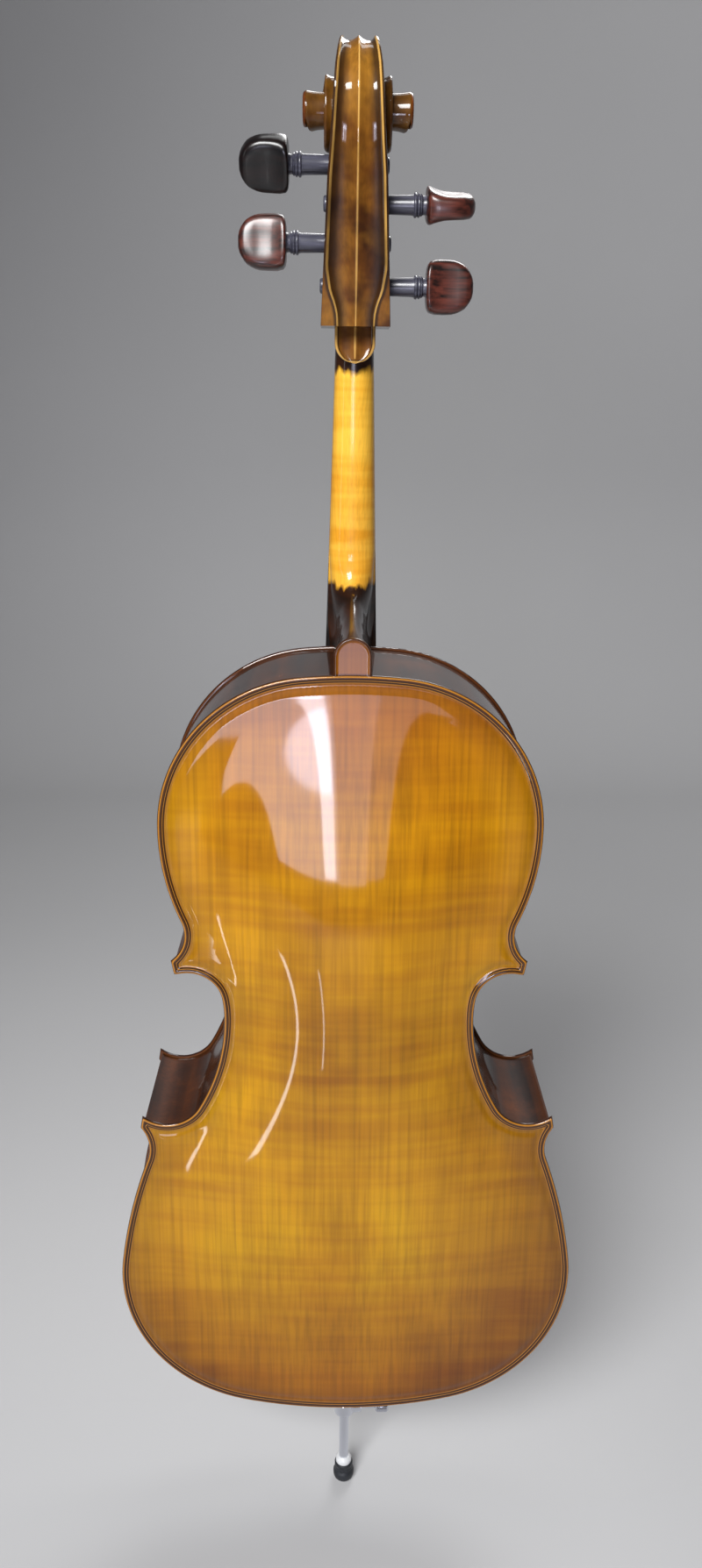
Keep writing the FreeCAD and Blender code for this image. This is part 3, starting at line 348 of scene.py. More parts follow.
# --- meshes -------------------------------------------------------------------------------------
def piece(name, verts, faces, material, body="instrument", stands_for=(), slot=None, crease=40,
          outward=True):
    """A finished piece: merged, facing outward, smooth except at its edges, on its body."""
    mesh = bpy.data.meshes.new(name)
    mesh.from_pydata([tuple(v) for v in verts], [], faces)
    if outward:
        work = bmesh.new()
        work.from_mesh(mesh)
        bmesh.ops.remove_doubles(work, verts=work.verts, dist=1e-6)
        bmesh.ops.dissolve_degenerate(work, edges=work.edges, dist=1e-7)
        bmesh.ops.recalc_face_normals(work, faces=work.faces)
        work.to_mesh(mesh)
        work.free()
    mesh.polygons.foreach_set("use_smooth", [True] * len(mesh.polygons))
    if crease:
        mesh.set_sharp_from_angle(angle=math.radians(crease))
    mesh.materials.append(material)
    thing = bpy.data.objects.new(name, mesh)
    bpy.context.collection.objects.link(thing)
    settle(thing, body, stands_for)
    return thing


def settle(thing, body, stands_for):
    """Puts a finished piece on its body, in place of the CAD nodes it stands for."""
    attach(thing, body)
    if stands_for:
        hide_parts(*stands_for)


def soften(thing, width, segments=2, angle=35):
    """A small round on every hard edge, as sanding or polishing leaves it."""
    mod = thing.modifiers.new("edge_round", "BEVEL")
    mod.width = width / 1000
    mod.segments = segments
    mod.limit_method = "ANGLE"
    mod.angle_limit = math.radians(angle)
    mod.harden_normals = True


def loft(rings, close=True):
    """Faces between closed rings of equal length, with flat caps."""
    count = len(rings[0])
    verts = [p for ring in rings for p in ring]
    faces = []
    for i in range(len(rings) - 1):
        for j in range(count):
            k = (j + 1) % count
            faces.append((i * count + j, i * count + k, (i + 1) * count + k, (i + 1) * count + j))
    if close:
        faces.append(tuple(range(count - 1, -1, -1)))
        faces.append(tuple(range((len(rings) - 1) * count, len(rings) * count)))
    return verts, faces


def spun(profile, base, axis, segments=48):
    """A turned shape from (distance along the axis, radius) in millimetres, closed at its ends."""
    frame_turn = Vector((0, 0, 1)).rotation_difference(Vector(axis)).to_matrix()
    rings = []
    for along, radius in profile:
        rings.append([base + frame_turn @ Vector((radius * math.cos(a), radius * math.sin(a), along)) / 1000
                      for a in (2 * math.pi * i / segments for i in range(segments))])
    return loft(rings)


def joined(*shapes):
    """Several (verts, faces) as one."""
    verts, faces = [], []
    for more_verts, more_faces in shapes:
        base = len(verts)
        verts += more_verts
        faces += [tuple(i + base for i in face) for face in more_faces]
    return verts, faces


def from_part(node, material, body="instrument", round_mm=0.0, angle=35, segments=2,
              crease=35):
    """A merged copy of a CAD node's mesh with its hard edges rounded."""
    mesh = NODES[node].data.copy()
    mesh.name = node + "_finished"
    work = bmesh.new()
    work.from_mesh(mesh)
    bmesh.ops.remove_doubles(work, verts=work.verts, dist=2e-6)
    if round_mm:
        bmesh.ops.dissolve_limit(work, angle_limit=math.radians(0.6), verts=work.verts, edges=work.edges)
    work.to_mesh(mesh)
    work.free()
    mesh.materials.clear()
    mesh.materials.append(material)
    mesh.polygons.foreach_set("use_smooth", [True] * len(mesh.polygons))
    mesh.polygons.foreach_set("material_index", [0] * len(mesh.polygons))
    mesh.set_sharp_from_angle(angle=math.radians(crease))
    thing = bpy.data.objects.new(node + "_finished", mesh)
    bpy.context.collection.objects.link(thing)
    if round_mm:
        soften(thing, round_mm, segments, angle)
    settle(thing, body, [node])
    return thing


# --- the body's outline and arching -------------------------------------------------------------
def walk(begin, heading, arcs, step=2.5):
    """Points along tangent arcs, each given as its radius and degrees of turn to the left."""
    x, h = begin
    angle = math.radians(heading)
    points = [(x, h)]
    for radius, sweep in arcs:
        turn = math.radians(sweep)
        side = math.copysign(radius, sweep)
        cx, ch = x - side * math.sin(angle), h + side * math.cos(angle)
        count = math.ceil(abs(radius * turn) / step)
        for i in range(1, count + 1):
            now = angle + turn * i / count
            points.append((cx + side * math.sin(now), ch - side * math.cos(now)))
        angle += turn
        x, h = points[-1]
    return points


def dense(points, step):
    """The same line with its long runs divided."""
    full = [points[0]]
    for (x0, h0), (x1, h1) in zip(points, points[1:]):
        count = max(1, math.ceil(math.hypot(x1 - x0, h1 - h0) / step))
        full += [(x0 + (x1 - x0) * i / count, h0 + (h1 - h0) * i / count) for i in range(1, count + 1)]
    return full


def half_outline():
    """The treble half of the outline, from the middle of the top to the middle of the bottom."""
    upper = walk((0.0, BODY_LENGTH), 0.0, UPPER_BOUT)
    lower = walk((0.0, 0.0), 0.0, LOWER_BOUT)
    waist_up = walk(WAIST, 90.0, WAIST_UP)
    waist_down = walk(WAIST, -90.0, WAIST_DOWN)
    corner = (waist_up[-1][0] + 6.2, waist_up[-1][1] - 1.05)
    return dense(upper + [corner] + waist_up[::-1] + waist_down[1:] + lower[::-1], 2.6)


def top_arc_height(x):
    """Height of the body's top edge at a place across it, before the bouts turn down."""
    return BODY_LENGTH - TOP_ARC + np.sqrt(np.maximum(TOP_ARC ** 2 - x ** 2, 0))


HALF = half_outline()
OUTLINE = HALF + [(-x, h) for x, h in reversed(HALF[1:-1])]


def nearest(points, line):
    """Distance to a closed line, and the direction away from its nearest point."""
    a = np.array(line)
    ab = np.roll(a, -1, axis=0) - a
    size = (ab ** 2).sum(1)
    gaps, ways = [], []
    for block in np.array_split(points, max(1, len(points) // 1500)):
        ap = block[:, None, :] - a[None]
        share = np.clip((ap * ab).sum(2) / size, 0, 1)
        off = ap - share[..., None] * ab
        dist = (off ** 2).sum(2)
        best = dist.argmin(1)
        rows = np.arange(len(block))
        gaps.append(np.sqrt(dist[rows, best]))
        ways.append(off[rows, best])
    gap = np.concatenate(gaps)
    way = np.concatenate(ways) / np.maximum(gap, 1e-9)[:, None]
    return gap, way


def inside(points, line):
    """True for each point that lies within a closed line."""
    x, h = points[:, 0], points[:, 1]
    within = np.zeros(len(points), bool)
    for (x0, h0), (x1, h1) in zip(line, line[1:] + line[:1]):
        if h0 == h1:
            continue
        crosses = ((h0 > h) != (h1 > h)) & (x < (x1 - x0) * (h - h0) / (h1 - h0) + x0)
        within ^= crosses
    return within


def arching(x, h, rise):
    """Height of a plate's arch over its edge."""
    def eased(a, b, share):
        return a + (b - a) * (1 - np.cos(np.pi * np.clip(share, 0, 1))) / 2
    waist = WAIST[1]
    width = np.where(h < waist, eased(LOWER_REACH, WAIST_REACH, (h - 165.0) / 275.0),
                     eased(WAIST_REACH, UPPER_REACH, (h - waist) / 182.0))
    reach = ((np.abs(x) / width) ** 2.5 + (np.abs(h - BODY_LENGTH / 2) / 371.0) ** 2.5) ** 0.4
    return rise * (1 - np.minimum(reach, 1.0) ** 2.4) ** 1.7


def smooth_step(value, low, high):
    """0 below low, 1 above high, and an even curve between."""
    share = np.clip((value - low) / (high - low), 0, 1)
    return share * share * (3 - 2 * share)


def edge_profile(gap):
    """The plate's surface by its distance from the edge: a half round, then the scooped channel."""
    inner = np.clip(EDGE_ROUND - gap, 0, EDGE_ROUND)
    bead = np.sqrt(EDGE_ROUND ** 2 - inner ** 2) - EDGE_ROUND
    return bead - SCOOP * np.exp(-((gap - 8.5) / 4.2) ** 2) * smooth_step(gap, 1.0, 4.5)


def f_hole():
    """Closed lines of one f-hole: two round eyes and the stem between them."""
    def eye(x, h, radius):
        return [(x + radius * math.cos(2 * math.pi * i / 24), h + radius * math.sin(2 * math.pi * i / 24))
                for i in range(24)]
    inner = [(46, 431), (66, 420), (66, 390), (69, 358), (78, 326), (95, 310), (96, 299)]
    outer = [(96, 299), (106, 312), (97, 322), (81, 345), (75, 372), (74, 400), (64, 432), (46, 431)]
    return [eye(50, 424, 7.5), eye(88, 304, 10.0), curved(inner, 5)[:-1] + curved(outer, 5)[:-1]]


def curved(points, steps):
    """A smooth line through points."""
    full = []
    spread = [points[0]] + list(points) + [points[-1]]
    for a, b, c, d in zip(spread, spread[1:], spread[2:], spread[3:]):
        for i in range(steps):
            t = i / steps
            full.append(tuple(0.5 * (2 * q + (r - p) * t + (2 * p - 5 * q + 4 * r - s) * t * t
                                     + (3 * q - p - 3 * r + s) * t ** 3) for p, q, r, s in zip(a, b, c, d)))
    return full + [tuple(map(float, points[-1]))]


RING_GAPS = (0.15, 0.5, 1.0, 1.6, 2.25, 3.1, 4.1, 5.2, 6.4, 7.8, 9.4, 11.2, 13.5, 16.5, 20.5, 26.0)


def plate_layout(button, holes):
    """A triangulated half plate as flat points, triangles, and the line that bounds it."""
    edge = list(HALF)
    spots = []
    if button:
        rim = [(BUTTON_RADIUS * math.sin(a), BUTTON_HEIGHT + BUTTON_RADIUS * math.cos(a))
               for a in (math.pi / 2 * i / 20 for i in range(21))]
        base = top_arc_height(BUTTON_RADIUS)
        edge = rim + [(BUTTON_RADIUS, h) for h in (771.0, 768.0, 765.0, 762.0, 759.5, base)]
        edge += [p for p in HALF if p[0] > BUTTON_RADIUS + 1 or p[1] < 400]
        for r in (15.75, 15.4, 14.9, 14.3, 13.6, 12.8, 11.8, 9.5, 6.5, 3.2):
            spots += [(r * math.sin(a), BUTTON_HEIGHT + r * math.cos(a))
                      for a in (math.pi / 2 * (i + 0.5) / 14 for i in range(14))]
            for i in range(16):
                spots.append((r, 773.0 - i * 1.1))
        for lift in (-0.4, -1.0, -1.7, -2.3, 0.4, 1.2):
            spots += [(x, top_arc_height(x) - lift) for x in range(1, 15, 2)]
    top = edge[0][1]
    on_button = [760.0, 764.0, 768.0, 772.0, 776.0, 780.0, 784.0, 786.5, 788.0, 789.0] if button else []
    middle = sorted({round(h, 3) for h in [i * 5.0 for i in range(6, 146)] + list(RING_GAPS)
                     + [BODY_LENGTH - g for g in RING_GAPS] + on_button})
    loop = edge + [(0.0, h) for h in middle if h < top - 0.1]
    way = np.gradient(np.array(HALF), axis=0)
    way /= np.linalg.norm(way, axis=1)[:, None]
    normal = np.stack([way[:, 1], -way[:, 0]], axis=1)
    for gap in RING_GAPS:
        ring = np.array(HALF)[::1 if gap < 9 else 2] + normal[::1 if gap < 9 else 2] * gap
        true_gap = nearest(ring, OUTLINE)[0]
        keep = (true_gap > gap - 0.04) & (ring[:, 0] > 1.2)
        spots += [tuple(p) for p in ring[keep]]
    grid = np.array([(2.5 + 5.0 * i + 2.5 * (j % 2), 4.33 * j) for i in range(44) for j in range(176)])
    gap = nearest(grid, OUTLINE)[0]
    spots += [tuple(p) for p in grid[inside(grid, OUTLINE) & (gap > 28.5)]]
    spots = [p for p in spots if p[0] > 0.5]
    loops = [loop] + holes
    for hole in holes:
        near_hole = nearest(np.array(spots), hole)[0]
        spots = [p for p, g in zip(spots, near_hole) if g > 0.6]
        around = np.array(dense(hole + hole[:1], 2.5)[:-1])
        tangent = np.gradient(around, axis=0)
        tangent /= np.linalg.norm(tangent, axis=1)[:, None]
        for push in (1.2, -1.2):
            spots += [tuple(p) for p in around + np.stack([tangent[:, 1], -tangent[:, 0]], axis=1) * push]
    seen, points, edges = {}, [], []
    for line in loops:
        first = len(points)
        points += line
        edges += [(first + i, first + (i + 1) % len(line)) for i in range(len(line))]
    for p in points:
        seen[(round(p[0] / 0.3), round(p[1] / 0.3))] = True
    for p in spots:
        key = (round(p[0] / 0.3), round(p[1] / 0.3))
        if key not in seen:
            seen[key] = True
            points.append(p)
    made = geometry.delaunay_2d_cdt([Vector(p) for p in points], edges, [], 0, 1e-4)
    flat = np.array([tuple(v) for v in made[0]])
    tris = np.array([f for f in made[2]])
    centre = flat[tris].mean(1)
    keep = inside(centre, loop)
    for hole in holes:
        keep &= ~inside(centre, hole)
    return flat, tris[keep], edge + [(-x, h) for x, h in reversed(edge[1:-1])]


def plate(name, sign, side, layout, material, stands_for):
    """One half plate with true surface directions, so that its gloss runs clean over the carving."""
    flat, tris, rim = layout
    x, h = flat[:, 0], flat[:, 1]
    gap, way = nearest(flat, rim)
    body_gap, body_way = nearest(flat, OUTLINE)
    beyond = (h > 700) & (h > top_arc_height(x)) & (sign > 0)
    body_gap = np.where(beyond, -body_gap, body_gap)
    rise = BACK_RISE if sign > 0 else TOP_RISE

    def surface(px, ph, to_rim, to_body):
        high = arching(px, ph, rise) + edge_profile(np.maximum(to_body, 0.0)) * (to_body > 0)
        face = np.minimum(edge_profile(np.minimum(to_rim, 3.0)), -0.25)
        face = face - 0.75 * smooth_step(to_rim, 1.9, 3.2)
        on_button = np.where((np.abs(px) < BUTTON_RADIUS) & (ph > 750) & (to_body < 2.25), 1.0, 0.0)
        return np.where(on_button > 0, np.maximum(np.where(to_body > 0, high, -9.0), face), high)

    height = surface(x, h, gap, body_gap) if sign > 0 else (arching(x, h, rise) + edge_profile(gap))
    tiny = 0.05
    slopes = []
    for dx, dh in ((tiny, 0), (0, tiny)):
        ends = []
        for way_sign in (1, -1):
            px, ph = x + way_sign * dx, h + way_sign * dh
            step = way_sign * (way[:, 0] * dx + way[:, 1] * dh)
            body_step = way_sign * (body_way[:, 0] * dx + body_way[:, 1] * dh) * np.where(beyond, -1, 1)
            to_rim = np.maximum(gap + step, 0.0)
            if sign > 0:
                ends.append(surface(px, ph, to_rim, body_gap + body_step))
            else:
                ends.append(arching(px, ph, rise) + edge_profile(to_rim))
        slopes.append((ends[0] - ends[1]) / (2 * tiny))
    rimmed = gap < 0.01
    lower = np.where(gap < EDGE_ROUND, -(edge_profile(gap)), 0.0) - 4.5
    carved = arching(x, h, rise) - PLATE
    lower = np.where(gap > 12, np.maximum(lower, -4.5 + (carved + 4.5) * smooth_step(gap, 12, 16)), lower)
    height[rimmed] = -EDGE_ROUND
    verts = [at(side * a, sign * (EDGE_Y + b), c) for a, b, c in zip(x, height, h)]
    below = {}
    for i in np.nonzero(~rimmed)[0]:
        below[i] = len(verts)
        verts.append(at(side * x[i], sign * (EDGE_Y + lower[i]), h[i]))
    for i in np.nonzero(rimmed)[0]:
        below[i] = i
    flip = (sign > 0) == (side > 0)
    faces, upper_count = [], len(tris)
    for a, b, c in tris.tolist():
        faces.append((a, c, b) if flip else (a, b, c))
    uses = {}
    for a, b, c in tris.tolist():
        faces.append((below[a], below[b], below[c]) if flip else (below[a], below[c], below[b]))
        for edge in ((a, b), (b, c), (c, a)):
            uses[frozenset(edge)] = None if frozenset(edge) in uses else edge
    for edge in uses.values():
        if edge and not (rimmed[edge[0]] and rimmed[edge[1]]):
            a, b = edge
            wall = [a, b, below[b], below[a]] if flip else [b, a, below[a], below[b]]
            faces.append(tuple(dict.fromkeys(wall)))
    mesh = bpy.data.meshes.new(name)
    mesh.from_pydata([tuple(v) for v in verts], [], faces)
    up = np.stack([-slopes[0] * side, np.full(len(x), float(sign)), -slopes[1]], axis=1)
    line = np.array(rim)
    tangent = np.gradient(line, axis=0)
    for i in np.nonzero(rimmed)[0]:
        run = tangent[int(((line - flat[i]) ** 2).sum(1).argmin())]
        up[i] = (-run[1] * side, 0.0, run[0])
    up /= np.linalg.norm(up, axis=1)[:, None]
    mesh.polygons.foreach_set("use_smooth", [True] * len(mesh.polygons))
    plain = [tuple(p.normal) for p in mesh.polygons]
    corner_normals = []
    for number, face in enumerate(mesh.polygons):
        for v in face.vertices:
            if number < upper_count or (v < len(x) and rimmed[v] and number < 2 * upper_count):
                corner_normals.append(tuple(up[v]))
            else:
                corner_normals.append(plain[number])
    mesh.normals_split_custom_set(corner_normals)
    for label, values in (("from_edge", body_gap), ("from_rim", gap)):
        attribute = mesh.attributes.new(label, "FLOAT", "POINT")
        attribute.data.foreach_set("value", np.concatenate([values, values[~rimmed]]).astype(np.float32))
    mesh.materials.append(material)
    thing = bpy.data.objects.new(name, mesh)
    bpy.context.collection.objects.link(thing)
    settle(thing, "instrument", stands_for)
    return thing


BACK = plate_layout(True, [])
TOP = plate_layout(False, f_hole())
for label, side in (("bass", -1), ("treble", 1)):
    plate("carved_back_" + label, 1, side, BACK, BACK_MAPLE, ["back_" + label]
          + (["purfling_back"] if side < 0 else []))
    plate("carved_top_" + label, -1, side, TOP, TOP_SPRUCE, ["top_" + label]
          + (["purfling_top"] if side < 0 else []))


# --- ribs ---------------------------------------------------------------------------------------
def drawn_in(gap):
    """The half outline drawn in by a gap, without the points that fold over at the corners."""
    line = np.array(HALF)
    way = np.gradient(line, axis=0)
    way /= np.linalg.norm(way, axis=1)[:, None]
    moved = line + np.stack([way[:, 1], -way[:, 0]], axis=1) * gap
    keep = nearest(moved, OUTLINE)[0] > gap - 0.05
    return [tuple(p) for p in moved[keep]]


def ribs():
    """Six bent strips between the plates, three on each side."""
    line = drawn_in(OVERHANG)
    upper_corner = min(range(len(line)), key=lambda i: math.hypot(line[i][0] - 156, line[i][1] - 488))
    lower_corner = min(range(len(line)), key=lambda i: math.hypot(line[i][0] - 189, line[i][1] - 331))
    spans = (("upper", 0, upper_corner), ("waist", upper_corner, lower_corner),
             ("lower", lower_corner, len(line) - 1))
    for label, side in (("bass", -1), ("treble", 1)):
        for part, first, last in spans:
            run = np.array(line[first:last + 1])
            way = np.gradient(run, axis=0)
            way /= np.linalg.norm(way, axis=1)[:, None]
            inner = run + np.stack([way[:, 1], -way[:, 0]], axis=1) * RIB
            rings = []
            for (ax, ah), (bx, bh) in zip(run, inner):
                rings.append([at(side * ax, -RIB_Y, ah), at(side * ax, RIB_Y, ah),
                              at(side * bx, RIB_Y, bh), at(side * bx, -RIB_Y, bh)])
            verts, faces = loft(rings)
            piece("bent_rib_%s_%s" % (part, label), verts, faces, RIB_MAPLE,
                  stands_for=["rib_%s_%s" % (part, label)], slot="rib_maple", crease=50)


ribs()


# --- neck, heel and scroll ----------------------------------------------------------------------
def between(table, place):
    """Straight-line reading of a table of (place, value)."""
    return float(np.interp(place, [p for p, v in table], [v for p, v in table]))


def neck_ring(base, tip, base_half, tip_half, start_round):
    """A section from its flat base to its rounded tip."""
    ring = []
    count = 12
    for i in range(count + 1):
        v = start_round * i / 4 if i <= 4 else None
        if v is None:
            turn = math.pi / 2 * (i - 4) / (count - 4)
            v = start_round + (1 - start_round) * math.sin(turn)
            x = tip_half * math.cos(turn) ** 0.95 if i < count else 0.0
        else:
            x = base_half + (tip_half - base_half) * (i / 4)
        ring.append((x, v))
    full = [(-x, v) for x, v in ring] + [(x, v) for x, v in reversed(ring[:-1])]
    return [base.lerp(tip, v) + Vector((x / 1000, 0, 0)) for x, v in full]


def neck():
    """Neck and heel: a round-backed shaft that sweeps out to the button's foot."""
    rings = []
    for i in range(31):
        down = -9.0 + 201.0 * i / 30
        half = 16.0 + 16.0 * max(down, 0.0) / 580
        depth = 17.0 + 2.0 * max(down, 0.0) / 200 - 0.4 * (down > 150) * (down - 150) / 42
        rings.append(neck_ring(on_neck(0, down, 0), on_neck(0, down, -depth), half - 0.1, half - 0.1, 0.0))
    p0 = on_neck(0, 192, -18.7)
    p1, p2, p3 = at(0, -54.5, 808), at(0, -20, 789.5), at(0, 61.0, 789.2)
    root = [on_neck(0, 192, 0), at(0, NECK_ROOT_Y - 11 * math.tan(NECK_TILT), 747), at(0, 61.0, 747)]
    first, second = (root[1] - root[0]).length, (root[2] - root[1]).length
    for i in range(1, 41):
        t = i / 40
        tip = p0 * (1 - t) ** 3 + p1 * 3 * t * (1 - t) ** 2 + p2 * 3 * t * t * (1 - t) + p3 * t ** 3
        run = (first + second) * t ** 1.1
        base = root[0].lerp(root[1], run / first)
        if run >= first:
            base = root[1].lerp(root[2], (run - first) / second)
        tip_half = between([(0, 21.2), (0.2, 19.0), (0.42, 14.0), (0.62, 10.8), (0.8, 10.2), (0.9, 11.4),
                            (1, 15.2)], t)
        base_half = between([(0, 21.2), (0.3, 22.0), (0.6, 17.0), (0.85, 13.5), (1, 15.2)], t)
        flat_share = between([(0, 0), (0.35, 0.35), (0.7, 0.6), (1, 0.62)], t)
        rings.append(neck_ring(base, tip, base_half, tip_half, flat_share))
    verts, faces = loft(rings)
    piece("neck_shaft_and_heel", verts, faces, NECK_MAPLE, stands_for=["neck_and_scroll"],
          slot="neck_maple", crease=50)


neck()

# Half width of the scroll's band and radius of its turns, by degrees turned from the top.
BAND_HALF = [(-90, 19.2), (-60, 17.6), (-30, 15.2), (0, 13.2), (40, 13.0), (90, 16.0), (135, 21.0),
             (180, 26.0), (270, 25.8), (360, 25.3), (400, 27.0), (450, 31.5), (540, 38.0), (600, 40.4),
             (900, 40.6)]
TURN_RADIUS = [(-90, 50.0), (0, 50.0), (90, 38.0), (180, 28.8), (270, 26.0), (360, 23.5), (450, 18.5),
               (540, 14.8), (630, 13.6), (720, 12.9), (900, 12.5), (1300, 12.0)]
BACK_LINE = [(8.0, 1036.0), (13.0, 1049.0), (18.0, 1062.0), (25.0, 1080.0), (32.0, 1098.0),
             (38.5, 1115.0), (44.5, 1132.0), (50.0, 1147.0), (56.5, 1165.0)]


def fluted(half, depth, chamfer, flute_half=99.0):
    """The carved back band from its right edge to its left: two flutes with a ridge between."""
    shape = [(1.0, 0.0), (0.96, 0.25), (0.88, 0.66), (0.76, 0.94), (0.6, 1.0), (0.42, 0.9), (0.26, 0.62),
             (0.13, 0.3), (0.05, 0.08), (0.0, 0.03)]
    inner = min(half - chamfer, flute_half)
    right = [(half, chamfer * 0.9), (half - chamfer * 0.3, chamfer * 0.25),
             ((half - chamfer + inner) / 2 + 0.05, 0.0), (inner, 0.0)]
    right += [(inner * share, depth * low) for share, low in shape[1:]]
    return right + [(-x, low) for x, low in reversed(right[:-1])]


def head_ring(front, back, front_half, back_half, depth, chamfer, trench, floor, scoop, flute_half=99.0):
    """One section of pegbox or scroll, from its front point to its back point."""
    way = back - front
    length = way.length * 1000
    ring, across = [], []

    # Points given no share of their own, on the cheeks, the front and the floor, read 1.3: in the material's
    # dark band of pooled varnish and painted shade.
    def put(x, inward, share=1.3):
        ring.append(back - way * (inward / length) + Vector((x / 1000, 0, 0)))
        across.append(share)

    width = min(back_half - chamfer, flute_half)
    for x, low in fluted(back_half, depth, chamfer, flute_half):
        put(x, low, abs(x) / width if abs(x) <= width + 0.01 else 1.0 + (abs(x) - width) / 4)
    for i in range(1, 9):
        v = i / 8
        put(-(back_half + (front_half - back_half) * v - scoop * math.sin(math.pi * v)), chamfer * 0.9
            + (length - chamfer * 0.9) * v)
    rim = front_half - trench if trench else front_half * 0.6
    low = floor if trench else 0.0
    for x, deep in ((-rim, 0.0), (-rim + 0.6, low * 0.5), (-rim + 1.2, low), (-rim * 0.4, low),
                    (rim * 0.4, low), (rim - 1.2, low), (rim - 0.6, low * 0.5), (rim, 0.0)):
        put(x, length - deep)
    for i in range(8, 0, -1):
        v = i / 8
        put(back_half + (front_half - back_half) * v - scoop * math.sin(math.pi * v), chamfer * 0.9
            + (length - chamfer * 0.9) * v)
    return ring, across


def head():
    """Pegbox and scroll as one carved strip that winds twice round its eye."""
    rings, crests = [], []
    for i in range(29):
        share = i / 28
        h = 1036.0 + 129.0 * share
        back = at(0, between([(b, a) for a, b in BACK_LINE], h), h)
        front_h = h - 4.0 * share
        front = at(0, NUT_Y + (9.0 - NUT_Y) * ((front_h - 1036.0) / 125.0), front_h)
        half = between([(1036, 28.4), (1143, 23.1), (1173, 20.4)], h)
        open_share = 1.0 if 1046.5 < h < 1161.0 else 0.0
        trench = 9.3 * open_share
        floor = between([(1047, 28), (1075, 27), (1132, 32), (1163, 30)], h) * open_share
        flute = between([(1036, 2.4), (1060, 2.8), (1085, 3.6)], h)
        flute_half = between([(1036, 15.3), (1044, 15.6), (1052, 17.4), (1062, 21.5), (1072, 23.2),
                              (1080, 24.5), (1090, 99)], h)
        ring, crest = head_ring(front, back, half, half, flute, 1.9, trench, floor, 0.0, flute_half)
        rings.append(ring)
        crests.append(crest)
    for turn in [-84 + 6 * i for i in range(0, 165)]:
        radius = between(TURN_RADIUS, turn)
        half = between(BAND_HALF, turn)
        angle = math.radians(turn)
        way = Vector((0, -math.sin(angle) * VOLUTE_SQUASH, math.cos(angle)))
        centre = at(0, VOLUTE_Y, VOLUTE_HEIGHT)
        back = centre + way * radius / 1000
        inner = min(between(TURN_RADIUS, turn + 360) * 0.82, radius * 0.72)
        front = centre + way * inner / 1000
        if turn < -20:
            ease = smooth_step(turn, -90.0, -20.0)
            front = at(0, 9.0, 1161.0).lerp(front, float(ease))
        depth = between([(-90, 3.4), (0, 3.4), (120, 3.0), (200, 2.2), (700, 1.2)], turn)
        chamfer = between([(-90, 1.9), (200, 1.7), (700, 1.2)], turn)
        front_half = half * between([(-90, 1.0), (60, 0.86), (900, 0.9)], turn)
        hollow = between([(-90, 0.0), (0, 1.6), (300, 2.2), (900, 1.0)], turn)
        ring, crest = head_ring(front, back, front_half, half, depth, chamfer, 0.0, 0.0, hollow)
        rings.append(ring)
        # From the second turn on, every point reads 0.62, partly into the dark band and without crest lines:
        # painted shade on the scroll's outer turns.
        crests.append(crest if turn < 150 else [0.62] * len(crest))
    verts, faces = loft(rings)
    scroll = piece("carved_pegbox_and_scroll", verts, faces, SCROLL_MAPLE, slot="neck_maple", crease=38,
                   outward=False)
    lines = scroll.data.attributes.new("across", "FLOAT", "POINT")
    lines.data.foreach_set("value", [c for crest in crests for c in crest])
    cap, cap_faces = [], []
    for side in (-1, 1):
        more = spun([(0, 12.6), (1.0, 12.4), (1.9, 11.4), (2.3, 9.6), (2.0, 7.2), (1.6, 4.0), (1.5, 0.2)],
                    at(side * 40.0, VOLUTE_Y, VOLUTE_HEIGHT), (side, 0, 0), 36)
        cap, cap_faces = joined((cap, cap_faces), more)
    piece("scroll_eyes", cap, cap_faces, EYE_MAPLE, slot="neck_maple")


head()


def tongue():
    """The chin of the pegbox: a flat tongue that rounds off on the neck's back."""
    rings, values = [], []
    for i in range(17):
        t = i / 16
        h = 1038.0 - 30.5 * t
        y_back = between([(1038, 8.7), (1030, 5.4), (1022, 2.0), (1014, -3.2), (1010, -8.0),
                          (1007, -13.0)], h)
        half = 17.0 if h > 1024 else math.sqrt(max(17.0 ** 2 - (1024.0 - h) ** 2 * 1.06, 1.0))
        ring = []
        edge = min(1.7, half * 0.3)
        for x, low in fluted(half, 2.4 * (1 - t ** 3) + 0.1, edge):
            ring.append(at(x, y_back - low, h))
            share = abs(x) / (half - edge)
            # Rims and the rounded end read 0.98: a pale crest line of worn varnish and painted highlight over
            # the dark band; the middle is kept mostly out of the dark band.
            values.append(0.98 if share > 0.9 or t > 0.93 else share * 0.55)
        values += [1.3] * 4
        ring += [at(-half, y_back - 12, h), at(-half * 0.8, -30, h), at(half * 0.8, -30, h),
                 at(half, y_back - 12, h)]
        rings.append(ring)
    verts, faces = loft(rings)
    chin = piece("pegbox_chin", verts, faces, SCROLL_MAPLE, slot="neck_maple", crease=38, outward=False)
    lines = chin.data.attributes.new("across", "FLOAT", "POINT")
    lines.data.foreach_set("value", values)


tongue()


# --- pegs ---------------------------------------------------------------------------------------
# name, place across, string radius, height, depth, side of the head, turn of the head
STRINGS = [("c", -1.5, 0.80, 1067.5, -8.0, -1, 0.0), ("g", -0.5, 0.60, 1126.5, 13.0, -1, 75.0),
           ("d", 0.5, 0.45, 1153.2, 21.0, 1, -35.0), ("a", 1.5, 0.35, 1098.7, 3.0, 1, 5.0)]


PEG_RADIUS, PEG_TAPER = 7.2, 0.02        # at the cheek, and the radius lost per millimetre
PEG_COLLAR_OUT = 23.0                    # from the cheek to the collar's outer face


def cheek_half(h):
    """Half the pegbox's width at a height."""
    return between([(1036, 28.4), (1143, 23.1), (1173, 21.0)], h)


